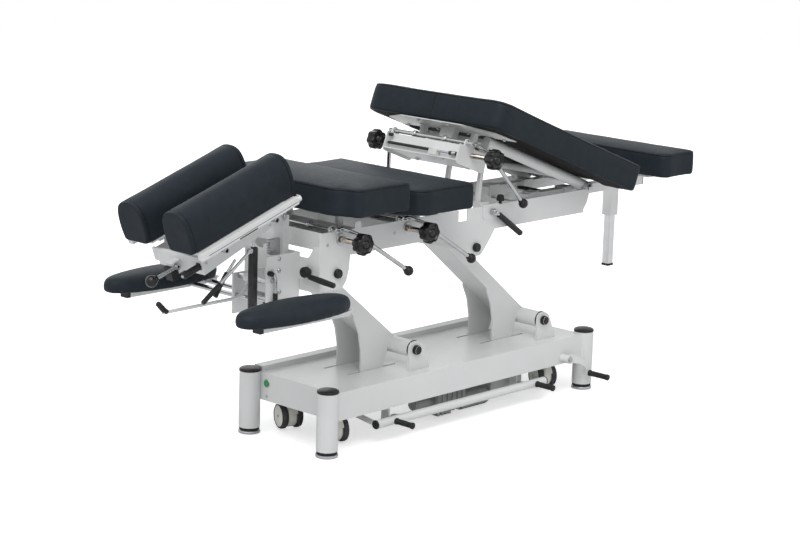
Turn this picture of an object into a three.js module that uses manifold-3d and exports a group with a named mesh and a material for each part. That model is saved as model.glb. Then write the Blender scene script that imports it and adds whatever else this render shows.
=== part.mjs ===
// Height-adjustable chiropractic table: a base on levelling feet and castors, two parallel lift arms,
// a top frame with three drop sections, a sliding foot section, a tilting head unit and two armrests.
// Millimetres, +Z up, +X towards the foot end, -Y towards the side with the pedals.
import * as THREE from "three";
import { mergeVertices } from "three/addons/utils/BufferGeometryUtils.js";
import Module from "manifold-3d";

const wasm = await Module();
wasm.setup();

const degree = Math.PI / 180;
const bothSides = [-1, 1];

// Fits and faceting
const gap = 0.4;
const overrun = 3;
const weld = 0.001;
const roundSides = 14;
const tubeSides = 10;
const rodSides = 8;
const bendSteps = 7;
const gripSteps = 3;
const curveSteps = 3;
const ballRings = 6;

// Base: four columns, two long rails, cross rails and ears for the lift arms
const columnOverhang = 20.25;
const columnInset = 14;
const columnRadius = 30;
const columnBottom = 17;
const columnTop = 183;
const columnCapHeight = 10;
const railWidth = 30;
const railInset = 20;
const railDrop = 7;
const crossRailWidth = 40;
const hangerRailHeight = 26;
const hangerRailWidth = 30;
const hangerRailHeadX = -20;
const hangerRailFootX = 192;
const levellingFootRadius = 31.5;
const levellingFootHeight = 9;
const levellingCollarRadius = 24;
const levellingStemRadius = 8;
const levellingStemLength = 28;

// Base cover: a folded sheet over the rails
const coverLength = 1070;
const coverWidth = 344;
const coverBottom = 98;
const coverTop = 178;
const coverSheet = 3;
const stripWidth = 34;
const stripHeight = 14;
const stripHeadInset = 10;
const stripFootInset = 95;
const slotHeadward = 184;
const slotFootward = 12;
const slotMargin = 1.5;

// Lift arms: lower pivots on the base, upper pivots under the top frame
const headPivotX = -186;
const footPivotX = 380;
const pivotHeight = 239;
const armReach = 338;
const armRise = 272;
const armWidth = 100;
const armDepth = 40;
const lowerTubeRadius = 24;
const upperTubeRadius = 22;
const pivotPinRadius = 8;
const pivotPinLength = 30;
const openPivotGap = 1;
const earInset = 6;
const earThickness = 8;
const earRadius = 24;
const earFootward = 60;
const pivotCapRadius = 13;
const pivotCapLength = 13;
const crankThickness = 6;
const crankBack = 133;
const crankDrop = 122;
const crankPinBack = 75;
const crankPinRadius = 9;
const crankLugRadius = 16;
const crankShares = [
  [-1.24, 1.05],
  [-1.24, 0.81],
  [-1.083, 0.45],
  [-1, 0.01],
  [-1, -0.5],
  [-0.962, -0.73],
  [-0.66, -1.08],
  [-0.47, -1.04],
  [-0.41, -0.73],
  [-0.32, -0.5],
  [-0.195, -0.09],
  [-0.15, 0.13],
];

// Castors: twin wheels on a swivel
const castorInset = 80;
const castorPlateRadius = 30;
const castorPlateBottom = 92;
const castorPinRadius = 6;
const castorPinLength = 8;
const castorHeading = -20;
const castorTrail = 15;
const castorWheelRadius = 37.5;
const castorAxleHeight = 41;
const castorWheelWidth = 20;
const castorWheelSpacing = 47;
const castorAxleRadius = 5;
const castorHoodRadius = 33;
const castorNeckRadius = 12.5;

// Foot bar along the near side, on two hanging brackets
const footBarRadius = 12.5;
const footBarReach = 35;
const footBarZ = 59;
const footBarHeadX = -377;
const footBarFootX = 360;
const footBarHingeInset = 3;
const footBarHingeZ = 50;
const footBarPinRadius = 5;
const footBarBracketThickness = 6;
const footBarBracketRadius = 14;
const footBarArmThickness = 8;
const footBarArmRadius = 11;
const footBarBracketXs = [-305, 250];
const footPegXs = [-305, 310];
const footPegRadius = 7.5;
const footPegLength = 79;

// Castor pedal: a curved lever on a shaft through the near rail
const pedalInset = 99;
const pedalZ = 118;
const pedalShaftRadius = 8;
const pedalShaftLength = 28;
const pedalBossRadius = 13;
const pedalBossLength = 32;
const pedalLeverThickness = 8;
const pedalLeverReach = 97;
const pedalLeverDrop = 58;
const pedalLeverTipRadius = 10;
const pedalGripRadius = 8;
const pedalGripLength = 76;

// Lift actuator and control box below the cover
const actuatorY = -92;
const actuatorZ = 57;
const actuatorWidth = 56;
const gearHeadX = -75;
const gearLength = 130;
const gearHeight = 64;
const gearRibs = 6;
const gearRibDepth = 4;
const motorLength = 100;
const motorRadius = 28;
const motorZ = 40;
const actuatorRodRadius = 17;
const actuatorRodLength = 70;
const boxX = 179;
const boxLength = 142;
const boxY = -113;
const boxWidth = 56;
const boxBottom = 31;
const boxHeight = 67;
const boxCorner = 6;
const glandRadius = 8;
const glandLength = 16;
const hangerWidth = 18;

// Top frame, measured from the foot-end upper pivot
const frameInner = 146;
const frameSheet = 4;
const frameHead = 632;
const frameFoot = 507;
const frameTop = 117;
const beamBottom = 45;
const pendantDrop = 45;
const pendantHighX = 516;
const pendantLowX = 544;
const webHeadX = 125;
const webFootX = 83;
const webDrop = 27;
const flangeWidth = 16;
const flangeThickness = 3;
const flangeHeadX = 158;
const flangeFootX = 250;
const notchX = -77;
const notchLength = 38;
const notchDepth = 34;
const earTabX = -488;
const earTabLength = 26;
const earTabHeight = 18;
const endPlateThickness = 4;
const endPlateBottom = 49;
const endPlateTop = 43;
const endPlateTopWidth = 106;
const endPlateShoulder = 128;
const endPlateShoulderTop = 80;
const footRailX = 470;
const crossRailThickness = 24;

// Foot section: two rails in sleeves, a cushion and a telescopic leg
const slideRailY = 80;
const slideRailSize = 30;
const slideRailTop = 116;
const slideRailHeadX = 288;
const slideRailFootX = 858;
const slideSleeveWall = 4;
const slideSleeveLength = 42;
const slideSleeveXs = [300, 458];
const footCushionHead = 741;
const footCushionLength = 157;
const footCushionWidth = 530;
const footCushionBottom = 139;
const footCushionHeight = 80;
const footBoardThickness = 8;
const footBoardInset = 20;
const footBoardY = 190;
const legInset = 40;
const legX = slideRailFootX - legInset;
const legSleeveSize = 36;
const legSleeveBottom = -22;
const legSize = 26;
const legBottom = -188;
const legOverlap = 120;
const legCapHeight = 18;
const legCapSize = 32;

// Drop sections: tray, plate on guide posts, cushion, tension knobs and cocking lever
const trayHead = 59;
const trayFoot = 71;
const trayTop = 21;
const trayBottom = 29;
const traySheet = 3;
const trayEndY = 145.6;
const trayEndSheet = 4;
const trayEndDrop = 36;
const trayEndCorner = 12;
const cockingX = -30;
const cockingZ = 30;
const cockingRadius = 6;
const cockingEarRadius = 11;
const camRadius = 11;
const camY = 60;
const camWidth = 12;
const postX = 42;
const postY = 100;
const postRadius = 8;
const postDepth = 4;
const postBossRadius = 15;
const postBossTop = 8;
const pelvicPostPlay = 2.5;
const knobShaftRadius = 7;
const knobBushRadius = 13;
const knobY = 205;
const knobLength = 45;
const knobRadius = 31;
const knobWaistRadius = 14;
const knobWaistLength = 16;
const knobLobes = 7;
const knobPointsPerLobe = 3;
const knobLobeShare = 0.08;
const hexTipX = 83;
const hexTipY = 226;
const hexHeadX = 50;
const hexThickness = 3;
const hexShoulderY = 130;
const leverRadius = 6;
const leverReach = 260;
const leverOutY = 190;
const leverForkY = 158;
const leverShares = [
  [0.1, -0.02],
  [0.25, 0.13],
  [0.4, 0.32],
];
const leverBallRadius = 14.3;
const cushionWidth = 530;
const cushionCrown = 12;
const cushionRound = 14;
const cushionDrawIn = 4;
const cushionDrawInShare = 0.08;

// Struts of the pelvic section: square bars bent about its hinge, just footward of its tray
const strutRadius = 483;
const strutThickness = 6;
const strutTop = 22.5;
const nearStrutBottom = -6.5;
const midStrutBottom = 6.5;
const strutClearance = 1;
const strutFootArm = 34;
const strutBow = 1.5;

const thoracic = {
  name: "thoracic", x: -554, z: 93, leverDrop: 129, head: 80, foot: 147, bottom: 82, height: 62,
  chamferX: 32, chamferY: 81, crown: cushionCrown, postPlay: 0,
};
const lumbar = {
  name: "lumbar", x: -292, z: 93, leverDrop: 141, head: 105, foot: 150, bottom: 61, height: 59,
  chamferX: 50, chamferY: 75, crown: cushionCrown, postPlay: 0,
};
const pelvic = {
  name: "pelvic", x: -strutRadius - strutThickness - strutClearance - trayFoot, z: -54,
  leverDrop: 106, head: 49, foot: 626, bottom: 89, height: 62,
  chamferX: 50, chamferY: 45, crown: cushionCrown, postPlay: pelvicPostPlay,
};

// Pelvic section, measured from its hinge at the foot end of the top frame
const pelvicHingeX = 515;
const pelvicHingeZ = 119;
const pelvicTilt = 21.1;
const pelvicTubeY = 124;
const pelvicTubeRadius = 16;
const pelvicTubeZ = 6;
const pelvicBarrelRadius = 15;
const pelvicPinRadius = 6;
const pelvicPinLength = 22;
const pelvicCrossX = -120;
const pelvicCrossRadius = 11;
const dropRodX = 20;
const dropRodZ = 14;
const dropRodRadius = 5;
const dropLugRadius = 10;
const dropLugY = 97;
const dropLugWidth = 7;
const dropBarWidth = 16;

// Strut clamp on the near side plate and its buffers
const clampLength = 30;
const clampWall = 7;
const clampRise = 11;
const clampDepth = 24;
const clampSheet = 4;
const clampTailLength = 66;
const clampTailDepth = 40;
const clampPivotX = 35;
const clampPivotDrop = 18;
const clampHandleRadius = 5;
const clampBendX = 55;
const clampBendZ = -23;
const clampHandleReach = 149;
const clampHandleDrop = 86;
const clampGripRadius = 9;
const clampGripShare = 0.45;
const bufferSpacing = 13;
const bufferBaseRadius = 12;
const bufferTopRadius = 9;
const bufferHeight = 18;
const bufferStemRadius = 4;
const bufferStemHeight = 8;

// Head unit: guide on the end plate, lifting post, tilting tray, two face cushions
const guideBackThickness = 8;
const guideNearY = -70;
const guideFarY = 63;
const guideCheek = 6;
const guideLength = 122;
const guideTop = 57;
const guideNearBottom = -83;
const guideFarBottom = -123;
const guideFarTop = -9;
const sleeveWall = 5;
const postDepthX = 20;
const postWidthY = 40;
const postCentreY = -30;
const postCentreX = -663;
const headPostBottom = -116;
const headPostTop = 150;
const sleeveBottom = -41;
const sleeveTop = 44;
const rackX = -712;
const rackBottom = 50;
const rackTop = 92;
const rackTeeth = 6;
const rackToothDepth = 5;
const rackWidth = 12;
const crossRodRadius = 7;
const crossRodReach = 281;
const crossRodZ = -73;
const crossRodXs = [-742, -682];
const upperRodX = -732;
const upperRodZ = -18;
const tiltX = -682;
const tiltZ = 157;
const headTilt = -18.6;
const tiltBarrelRadius = 12;
const tiltPinRadius = 5;
const tiltLugWidth = 8;
const headHingeA = 384;
const headHingeB = -81;
const headTrayHead = 56;
const headTrayFoot = 325;
const headTrayWidth = 180;
const headTrayTop = -40;
const headTrayHeadBottom = -91;
const headTrayFootBottom = -72;
const headTraySheet = 4;
const headFlangeWindow = 26;
const headCushionLength = 382;
const headCushionY = 90;
const headCushionWidth = 102;
const headCushionHeight = 116;
const headRailHead = 19;
const headRailFoot = 372;
const headRailInner = 130;
const headRailOuter = 150;
const headRailTop = -2;
const headRailBottom = -22;
const headBoardThickness = 5;
const headBoardInner = 48;
const carrierLength = 34;
const carrierWidth = 30;
const carrierXs = [100, 285];
const carrierRodZ = -30;
const carrierRodRadius = 6;
const carrierBottom = -38;
const thumbRadius = 9;
const thumbLength = 14;
const springX = -95;
const springZ = -40;
const springY = -42;
const springTubeRadius = 9;
const springRodRadius = 4;
const springRodLength = 53;
const springTubeLength = 150;
const springPinRadius = 4;
const springEyeRadius = 9;
const springEyeWidth = 8;
const ballLeverA = 31;
const ballLeverB = -66;
const ballLeverLength = 78;
const ballLeverRadius = 5;
const headBallRadius = 16.5;
const ballBossRadius = 9;
const clampBlockSize = 24;
const releaseA = 229;
const releaseB = -106;
const releaseY = -78;
const releaseLength = 130;
const releaseAngle = 163;
const releaseRadius = 5;
const releaseGripLength = 74;
const releaseGripRadius = 8;
const heightLeverY = 24;
const heightLeverDropX = 57;
const heightLeverDropZ = 50;
const heightLeverLength = 205;
const heightLeverBendShare = 0.8;
const heightGripLength = 90;
const heightGripRadius = 8;
const lockY = -112;
const lockZ = 1;
const lockRadius = 6;
const lockStemLength = 26;
const lockGripLength = 58;
const lockGripRadius = 8;

// Armrests on the cross rods of the head guide
const armrestY = 266;
const armrestRailWidth = 30;
const armrestRailHeight = 20;
const armrestHeadX = -957;
const armrestFootX = -642;
const armrestBoardHeadX = -1010;
const armrestBoardFootX = -660;
const armrestBoardWidth = 90;
const armrestPadHeadX = -1040;
const armrestPadFootX = -632;
const armrestPadWidth = 140;
const armrestPadBottom = -56;
const armrestPadHeight = 40;
const armrestPadCrown = 5;

// Materials
function paint(color, roughness, metalness) {
  return new THREE.MeshStandardMaterial({ color, roughness, metalness });
}
const powderCoat = () => paint(0xe8eaea, 0.42, 0.05);
const chrome = () => paint(0xc9ccce, 0.18, 1);
const steel = () => paint(0xa9adb0, 0.35, 1);
const vinyl = () => paint(0x2b3138, 0.55, 0);
const blackPlastic = () => paint(0x17181a, 0.45, 0);
const castorPlastic = () => paint(0xb9b2a2, 0.5, 0);
const greyHousing = () => paint(0x7c8083, 0.5, 0);
const rubber = () => paint(0x1c1c1d, 0.8, 0);

// Solids: joining and cutting closed geometries
function solidOf(geometry) {
  const loose = geometry.index ? geometry.toNonIndexed() : geometry;
  const bare = new THREE.BufferGeometry().setAttribute("position", loose.getAttribute("position"));
  const merged = mergeVertices(bare, weld);
  const vertProperties = merged.getAttribute("position").array;
  const triVerts = new Uint32Array(merged.index.array);
  return new wasm.Manifold(new wasm.Mesh({ numProp: 3, vertProperties, triVerts }));
}

function geometryOf(solid) {
  const mesh = solid.getMesh();
  const position = new Float32Array(mesh.numVert * 3);
  for (let i = 0; i < mesh.numVert; i++) {
    const at = i * mesh.numProp;
    position.set(mesh.vertProperties.subarray(at, at + 3), i * 3);
  }
  const geometry = new THREE.BufferGeometry();
  geometry.setAttribute("position", new THREE.BufferAttribute(position, 3));
  geometry.setIndex(new THREE.BufferAttribute(mesh.triVerts, 1));
  geometry.computeVertexNormals();
  return geometry;
}

function join(pieces) {
  return geometryOf(pieces.map(solidOf).reduce((whole, piece) => whole.add(piece)));
}

function cut(body, tools) {
  return geometryOf(tools.map(solidOf).reduce((rest, tool) => rest.subtract(tool), solidOf(body)));
}

// Plain forms
function span(x0, x1, y0, y1, z0, z1) {
  const box = new THREE.BoxGeometry(x1 - x0, y1 - y0, z1 - z0);
  return box.translate((x0 + x1) / 2, (y0 + y1) / 2, (z0 + z1) / 2);
}

function barY(x, z, y0, y1, radius, sides = tubeSides) {
  return new THREE.CylinderGeometry(radius, radius, y1 - y0, sides).translate(x, (y0 + y1) / 2, z);
}

function barZ(x, y, z0, z1, radius, sides = tubeSides, topRadius = radius) {
  const bar = new THREE.CylinderGeometry(topRadius, radius, z1 - z0, sides).rotateX(Math.PI / 2);
  return bar.translate(x, y, (z0 + z1) / 2);
}

function barX(y, z, x0, x1, radius, sides = tubeSides) {
  const bar = new THREE.CylinderGeometry(radius, radius, x1 - x0, sides).rotateZ(Math.PI / 2);
  return bar.translate((x0 + x1) / 2, y, z);
}

// The radius of a faceted bore whose flats clear a pin of this radius.
function boreOf(pinRadius, sides = tubeSides) {
  return (pinRadius + gap) / Math.cos(Math.PI / sides);
}

function ball(x, y, z, radius) {
  return new THREE.SphereGeometry(radius, tubeSides, ballRings).translate(x, y, z);
}

function extruded(shape, depth, curveSegments = curveSteps) {
  return new THREE.ExtrudeGeometry(shape, { depth, bevelEnabled: false, curveSegments });
}

// A plate whose outline lies in the XZ plane, from y0 to y1.
function plateY(shape, y0, y1, curveSegments = curveSteps) {
  return extruded(shape, y1 - y0, curveSegments).rotateX(Math.PI / 2).translate(0, y1, 0);
}

function plateZ(shape, z0, z1) {
  return extruded(shape, z1 - z0).translate(0, 0, z0);
}

// A plate whose outline lies in the YZ plane, from x0 to x1.
function plateX(shape, x0, x1) {
  const turn = new THREE.Matrix4().makeBasis(
    new THREE.Vector3(0, 1, 0),
    new THREE.Vector3(0, 0, 1),
    new THREE.Vector3(1, 0, 0),
  );
  return extruded(shape, x1 - x0).applyMatrix4(turn).translate(x0, 0, 0);
}

// An outline from corners [x, y, radius], each corner rounded by a curve of that radius.
function rounded(corners) {
  const shape = new THREE.Shape();
  corners.forEach(([x, y, radius = 0], i) => {
    const corner = new THREE.Vector2(x, y);
    const before = new THREE.Vector2(...corners.at(i - 1));
    const after = new THREE.Vector2(...corners[(i + 1) % corners.length]);
    const start = before.sub(corner).setLength(radius).add(corner);
    const end = after.sub(corner).setLength(radius).add(corner);
    if (i) shape.lineTo(start.x, start.y);
    else shape.moveTo(start.x, start.y);
    if (radius) shape.quadraticCurveTo(x, y, end.x, end.y);
  });
  return shape;
}

function ring(radius, sides) {
  return Array.from({ length: sides }, (_, i) => {
    const angle = (2 * Math.PI * i) / sides;
    return new THREE.Vector2(radius * Math.cos(angle), radius * Math.sin(angle));
  });
}

// A round bar swept through points.
function sweep(points, radius, steps = bendSteps) {
  const path = new THREE.CatmullRomCurve3(points.map((point) => new THREE.Vector3(...point)), false, "centripetal");
  return new THREE.ExtrudeGeometry(new THREE.Shape(ring(radius, rodSides)), { extrudePath: path, steps });
}

// A form turned about the Z axis from [radius, height] pairs that start and end on the axis.
function turned(profile, sides = roundSides) {
  const points = profile.map(([radius, height]) => new THREE.Vector2(radius, height));
  return new THREE.LatheGeometry(points, sides).rotateX(Math.PI / 2);
}

function part(name, geometry, material) {
  const mesh = new THREE.Mesh(geometry, material);
  mesh.name = name;
  return mesh;
}

function groupAt(x, y, z, ...children) {
  const group = new THREE.Group();
  group.position.set(x, y, z);
  if (children.length) group.add(...children);
  return group;
}

// A closed skin through rings of equally many points, with a middle point at each end.
function loft(rings, startPoint, endPoint) {
  const count = rings[0].length;
  const points = [startPoint, ...rings.flat(), endPoint];
  const last = points.length - 1;
  const faces = [];
  for (let i = 0; i < count; i++) {
    const next = (i + 1) % count;
    faces.push(0, 1 + next, 1 + i);
    for (let r = 0; r + 1 < rings.length; r++) {
      const low = 1 + r * count;
      const high = low + count;
      faces.push(low + i, low + next, high + next, low + i, high + next, high + i);
    }
    const top = 1 + (rings.length - 1) * count;
    faces.push(top + i, top + next, last);
  }
  const geometry = new THREE.BufferGeometry();
  geometry.setAttribute("position", new THREE.Float32BufferAttribute(points.flat(), 3));
  geometry.setIndex(faces);
  geometry.computeVertexNormals();
  return geometry;
}

// Cushions: rings of one plan outline, drawn in along the sides, rounded below and crowned on top
const cushionRingShares = [
  [1, 0],
  [0.3, 0.1],
  [0, 0.35],
  [0.1, 0.62],
  [0, 0.84],
  [0.35, 0.95],
  [1.1, 1],
];
const crownRingShares = [
  [0.6, 0.62],
  [0.28, 0.92],
];
const cushionSideSteps = 3;
const cushionCornerSteps = 3;

function planPoints(corners) {
  const outline = [];
  corners.forEach((corner, i) => {
    const after = corners[(i + 1) % corners.length];
    const before = corners.at(i - 1);
    const at = new THREE.Vector2(corner[0], corner[1]);
    const inward = new THREE.Vector2(before[0], before[1]).sub(at).setLength(corner[2]).add(at);
    const onward = new THREE.Vector2(after[0], after[1]).sub(at).setLength(corner[2]).add(at);
    const bend = new THREE.QuadraticBezierCurve(inward, at, onward);
    outline.push(...bend.getPoints(cushionCornerSteps));
    const target = new THREE.Vector2(after[0], after[1]);
    const arrive = at.clone().sub(target).setLength(after[2]).add(target);
    const along = arrive.clone().sub(onward);
    const inwards = new THREE.Vector2(-along.y, along.x).normalize();
    const drawIn = Math.min(cushionDrawIn, along.length() * cushionDrawInShare);
    for (let s = 1; s < cushionSideSteps; s++) {
      const share = s / cushionSideSteps;
      const pull = 4 * share * (1 - share) * drawIn;
      outline.push(onward.clone().addScaledVector(along, share).addScaledVector(inwards, pull));
    }
  });
  return outline;
}

function cushion(corners, bottom, height, crown, round) {
  const plan = planPoints(corners);
  const bounds = new THREE.Box2().setFromPoints(plan);
  const middle = bounds.getCenter(new THREE.Vector2());
  const size = bounds.getSize(new THREE.Vector2());
  const ringAt = (shareX, shareY, z) =>
    plan.map((p) => [middle.x + (p.x - middle.x) * shareX, middle.y + (p.y - middle.y) * shareY, z]);
  const sides = cushionRingShares.map(([inset, level]) =>
    ringAt(1 - (2 * inset * round) / size.x, 1 - (2 * inset * round) / size.y, bottom + level * height));
  const top = crownRingShares.map(([spread, level]) =>
    ringAt(spread, spread, bottom + height + level * crown));
  const peak = bottom + height + crown;
  return loft([...sides, ...top], [middle.x, middle.y, bottom], [middle.x, middle.y, peak]);
}

// Base
const columnX = coverLength / 2 + columnOverhang;
const castorSpacingX = coverLength - 2 * castorInset;
const pedalX = coverLength / 2 - pedalInset;
const columnY = coverWidth / 2 - columnInset;
const railOuterY = columnY - railInset + railWidth / 2;
const railInnerY = railOuterY - railWidth;
const earInner = railInnerY + earInset;
const castorSpacingY = 2 * (railInnerY - castorPlateRadius);
const railBottom = coverBottom + railDrop;
const railTop = coverTop - coverSheet - gap;
const railEndX = coverLength / 2 - coverSheet - gap;
const pivotXs = [headPivotX, footPivotX];
const footBarHingeY = -(railOuterY + railInnerY) / 2 + footBarHingeInset;
const footBarY = footBarHingeY - footBarReach;

function earShape(x, margin) {
  return rounded([
    [x - earRadius - margin, railBottom],
    [x - earRadius - margin, pivotHeight + earRadius + margin, earRadius],
    [x + earRadius + margin, pivotHeight + earRadius + margin, earRadius],
    [x + earFootward + margin, coverTop],
    [x + earFootward + margin, railBottom],
  ]);
}

function footBarBracket(x) {
  const shape = rounded([
    [footBarHingeY - railWidth / 2, railBottom + coverSheet],
    [footBarHingeY - footBarBracketRadius, footBarHingeZ - footBarBracketRadius, footBarBracketRadius],
    [footBarHingeY + footBarBracketRadius, footBarHingeZ - footBarBracketRadius, footBarBracketRadius],
    [footBarHingeY + railWidth / 2 - footBarHingeInset, railBottom + coverSheet],
  ]);
  const outer = x + footBarBracketThickness + gap + footBarArmThickness;
  return [
    plateX(shape, x, x + footBarBracketThickness),
    barX(footBarHingeY, footBarHingeZ, x, outer, footBarPinRadius, rodSides),
  ];
}

function baseFrame() {
  const pieces = [];
  const holes = [];
  const stemTop = columnBottom + levellingStemLength + gap;
  for (const sideY of bothSides) {
    const y0 = Math.min(sideY * railInnerY, sideY * railOuterY);
    pieces.push(span(-railEndX, railEndX, y0, y0 + railWidth, railBottom, railTop));
    for (const sideX of bothSides) {
      const x = sideX * columnX;
      const y = sideY * columnY;
      const castorX = (sideX * castorSpacingX) / 2;
      const castorY = (sideY * castorSpacingY) / 2;
      const capStart = columnTop - overrun;
      pieces.push(barZ(x, y, columnBottom, columnTop, columnRadius, roundSides));
      pieces.push(turned([[0, capStart], [columnRadius, capStart], [columnRadius, columnTop],
        [columnRadius * Math.SQRT1_2, columnTop + columnCapHeight * Math.SQRT1_2],
        [0, columnTop + columnCapHeight]]).translate(x, y, 0));
      pieces.push(barZ(castorX, castorY, castorPlateBottom, railTop - coverSheet, castorPlateRadius, rodSides));
      holes.push(barZ(x, y, columnBottom - overrun, stemTop, boreOf(levellingStemRadius, rodSides), rodSides));
      holes.push(barZ(castorX, castorY, castorPlateBottom - overrun,
        castorPlateBottom + castorPinLength + gap,
        boreOf(castorPinRadius, rodSides), rodSides));
    }
    for (const x of pivotXs) {
      const inner = sideY * earInner;
      const outer = sideY * (earInner + earThickness);
      const cap = sideY * (earInner + earThickness + pivotCapLength);
      const pin = sideY * (earInner - pivotPinLength);
      pieces.push(plateY(earShape(x, 0), Math.min(inner, outer), Math.max(inner, outer)));
      pieces.push(barY(x, pivotHeight, Math.min(inner, cap), Math.max(inner, cap), pivotCapRadius));
      pieces.push(barY(x, pivotHeight, Math.min(pin, outer), Math.max(pin, outer), pivotPinRadius, rodSides));
    }
  }
  for (const sideX of bothSides) {
    const x0 = (sideX * castorSpacingX - crossRailWidth) / 2;
    pieces.push(span(x0, x0 + crossRailWidth, -railOuterY, railOuterY, railBottom, railTop));
  }
  for (const x of [hangerRailHeadX, hangerRailFootX]) {
    const x0 = x - hangerRailWidth / 2;
    const top = railBottom + hangerRailHeight;
    pieces.push(span(x0, x0 + hangerRailWidth, -railOuterY, railOuterY, railBottom, top));
  }
  pieces.push(...footBarBracketXs.flatMap(footBarBracket));
  holes.push(barY(pedalX, pedalZ, -railOuterY - overrun, -railOuterY + pedalShaftLength, boreOf(pedalShaftRadius)));
  return part("base_frame", cut(join(pieces), holes), powderCoat());
}

function baseCover() {
  const halfLength = coverLength / 2;
  const halfWidth = coverWidth / 2;
  const stripHead = -halfLength + stripHeadInset;
  const stripFoot = halfLength - stripFootInset;
  const outside = join([
    span(-halfLength, halfLength, -halfWidth, halfWidth, coverBottom, coverTop),
    span(stripHead, stripFoot, halfWidth - stripWidth, halfWidth, coverTop - coverSheet, coverTop + stripHeight),
  ]);
  const wall = coverSheet;
  const inside = [
    span(-halfLength + wall, halfLength - wall, -halfWidth + wall, halfWidth - wall,
      coverBottom - overrun, coverTop - wall),
    span(stripHead + wall, stripFoot - wall, halfWidth - stripWidth + wall, halfWidth - wall,
      coverTop - wall - overrun, coverTop + stripHeight - wall),
  ];
  const openings = [];
  for (const sideX of bothSides) {
    for (const sideY of bothSides) {
      openings.push(barZ(sideX * columnX, sideY * columnY, coverBottom - overrun,
        coverTop + stripHeight + overrun, columnRadius + gap, roundSides));
    }
  }
  const crankInner = armWidth / 2 - crankThickness - slotMargin;
  const crankOuter = armWidth / 2 + slotMargin;
  for (const x of pivotXs) {
    for (const sideY of bothSides) {
      const slotY = sideY > 0 ? crankInner : -crankOuter;
      const earY = sideY > 0 ? earInner - gap : -earInner - earThickness - gap;
      openings.push(span(x - slotHeadward, x + slotFootward, slotY, slotY + crankOuter - crankInner,
        coverTop - wall - overrun, coverTop + overrun));
      openings.push(span(x - earRadius - gap, x + earFootward + gap, earY, earY + earThickness + 2 * gap,
        coverTop - wall - overrun, coverTop + stripHeight + overrun));
    }
  }
  openings.push(barY(pedalX, pedalZ, -halfWidth - overrun, -halfWidth + wall + overrun, boreOf(pedalShaftRadius)));
  return part("base_cover", cut(outside, [...inside, ...openings]), powderCoat());
}

function levellingFoot(name) {
  const collar = columnBottom - gap;
  const profile = [
    [0, 0],
    [levellingFootRadius, 0],
    [levellingFootRadius, levellingFootHeight],
    [levellingCollarRadius, collar],
    [levellingStemRadius, collar],
    [levellingStemRadius, columnBottom + levellingStemLength],
    [0, columnBottom + levellingStemLength],
  ];
  return part(name, turned(profile), steel());
}

function castor(suffix) {
  const halfHub = (castorWheelSpacing - castorWheelWidth) / 2 - gap;
  const neckTop = castorPlateBottom - gap;
  const hood = barX(castorTrail, castorAxleHeight, -halfHub, halfHub, castorHoodRadius);
  const neck = barZ(0, 0, castorAxleHeight, neckTop, castorNeckRadius);
  const pin = barZ(0, 0, castorAxleHeight, castorPlateBottom + castorPinLength,
    castorPinRadius, rodSides);
  const body = join([hood, neck, pin]);
  const holeEnd = halfHub + overrun;
  const axleEnd = castorWheelSpacing / 2;
  const axleHole = barX(castorTrail, castorAxleHeight, -holeEnd, holeEnd, boreOf(castorAxleRadius));
  const wheels = [barX(castorTrail, castorAxleHeight, -axleEnd, axleEnd, castorAxleRadius)];
  for (const side of bothSides) {
    const x0 = (side * castorWheelSpacing - castorWheelWidth) / 2;
    const tread = barX(castorTrail, castorAxleHeight, x0, x0 + castorWheelWidth, castorWheelRadius, roundSides);
    wheels.push(tread);
  }
  return [
    part("castor_fork_" + suffix, cut(body, [axleHole]), castorPlastic()),
    part("castor_wheels_" + suffix, join(wheels), rubber()),
  ];
}

function footBar() {
  const pieces = [barX(footBarY, footBarZ, footBarHeadX, footBarFootX, footBarRadius, tubeSides)];
  const holes = [];
  for (const x of footBarBracketXs) {
    const x0 = x + footBarBracketThickness + gap;
    const x1 = x0 + footBarArmThickness - gap;
    const arm = rounded([
      [footBarY, footBarZ + footBarArmRadius],
      [footBarY, footBarZ - footBarArmRadius],
      [footBarHingeY + footBarArmRadius, footBarHingeZ - footBarArmRadius, footBarArmRadius],
      [footBarHingeY + footBarArmRadius, footBarHingeZ + footBarArmRadius, footBarArmRadius],
    ]);
    pieces.push(plateX(arm, x0, x1));
    holes.push(barX(footBarHingeY, footBarHingeZ, x0 - overrun, x1 + overrun,
      boreOf(footBarPinRadius, rodSides), rodSides));
  }
  for (const x of footPegXs) {
    pieces.push(barY(x, footBarZ, footBarY - footPegLength, footBarY, footPegRadius));
  }
  return part("foot_bar", cut(join(pieces), holes), powderCoat());
}

function castorPedal() {
  const skirt = -coverWidth / 2 - gap;
  const leverNear = skirt - pedalBossLength;
  const leverFar = leverNear + pedalLeverThickness;
  const shape = new THREE.Shape();
  const tipX = pedalLeverReach;
  const tipZ = -pedalLeverDrop;
  shape.moveTo(0, pedalBossRadius);
  shape.bezierCurveTo(tipX / 2, pedalBossRadius, tipX + pedalLeverTipRadius, tipZ / 2,
    tipX + pedalLeverTipRadius, tipZ);
  shape.absarc(tipX, tipZ, pedalLeverTipRadius, 0, -Math.PI, true);
  shape.bezierCurveTo(tipX - pedalLeverTipRadius, tipZ / 2, tipX / 3, -pedalBossRadius, 0, -pedalBossRadius);
  shape.absarc(0, 0, pedalBossRadius, -Math.PI / 2, Math.PI / 2, true);
  const pieces = [
    plateY(shape, leverNear, leverFar),
    barY(0, 0, leverNear, skirt, pedalBossRadius),
    barY(0, 0, leverNear, -railOuterY + pedalShaftLength - gap, pedalShaftRadius),
    barY(tipX, tipZ, leverNear - pedalGripLength, leverFar, pedalGripRadius),
  ];
  return groupAt(pedalX, 0, pedalZ, part("castor_pedal", join(pieces), powderCoat()));
}

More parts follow.
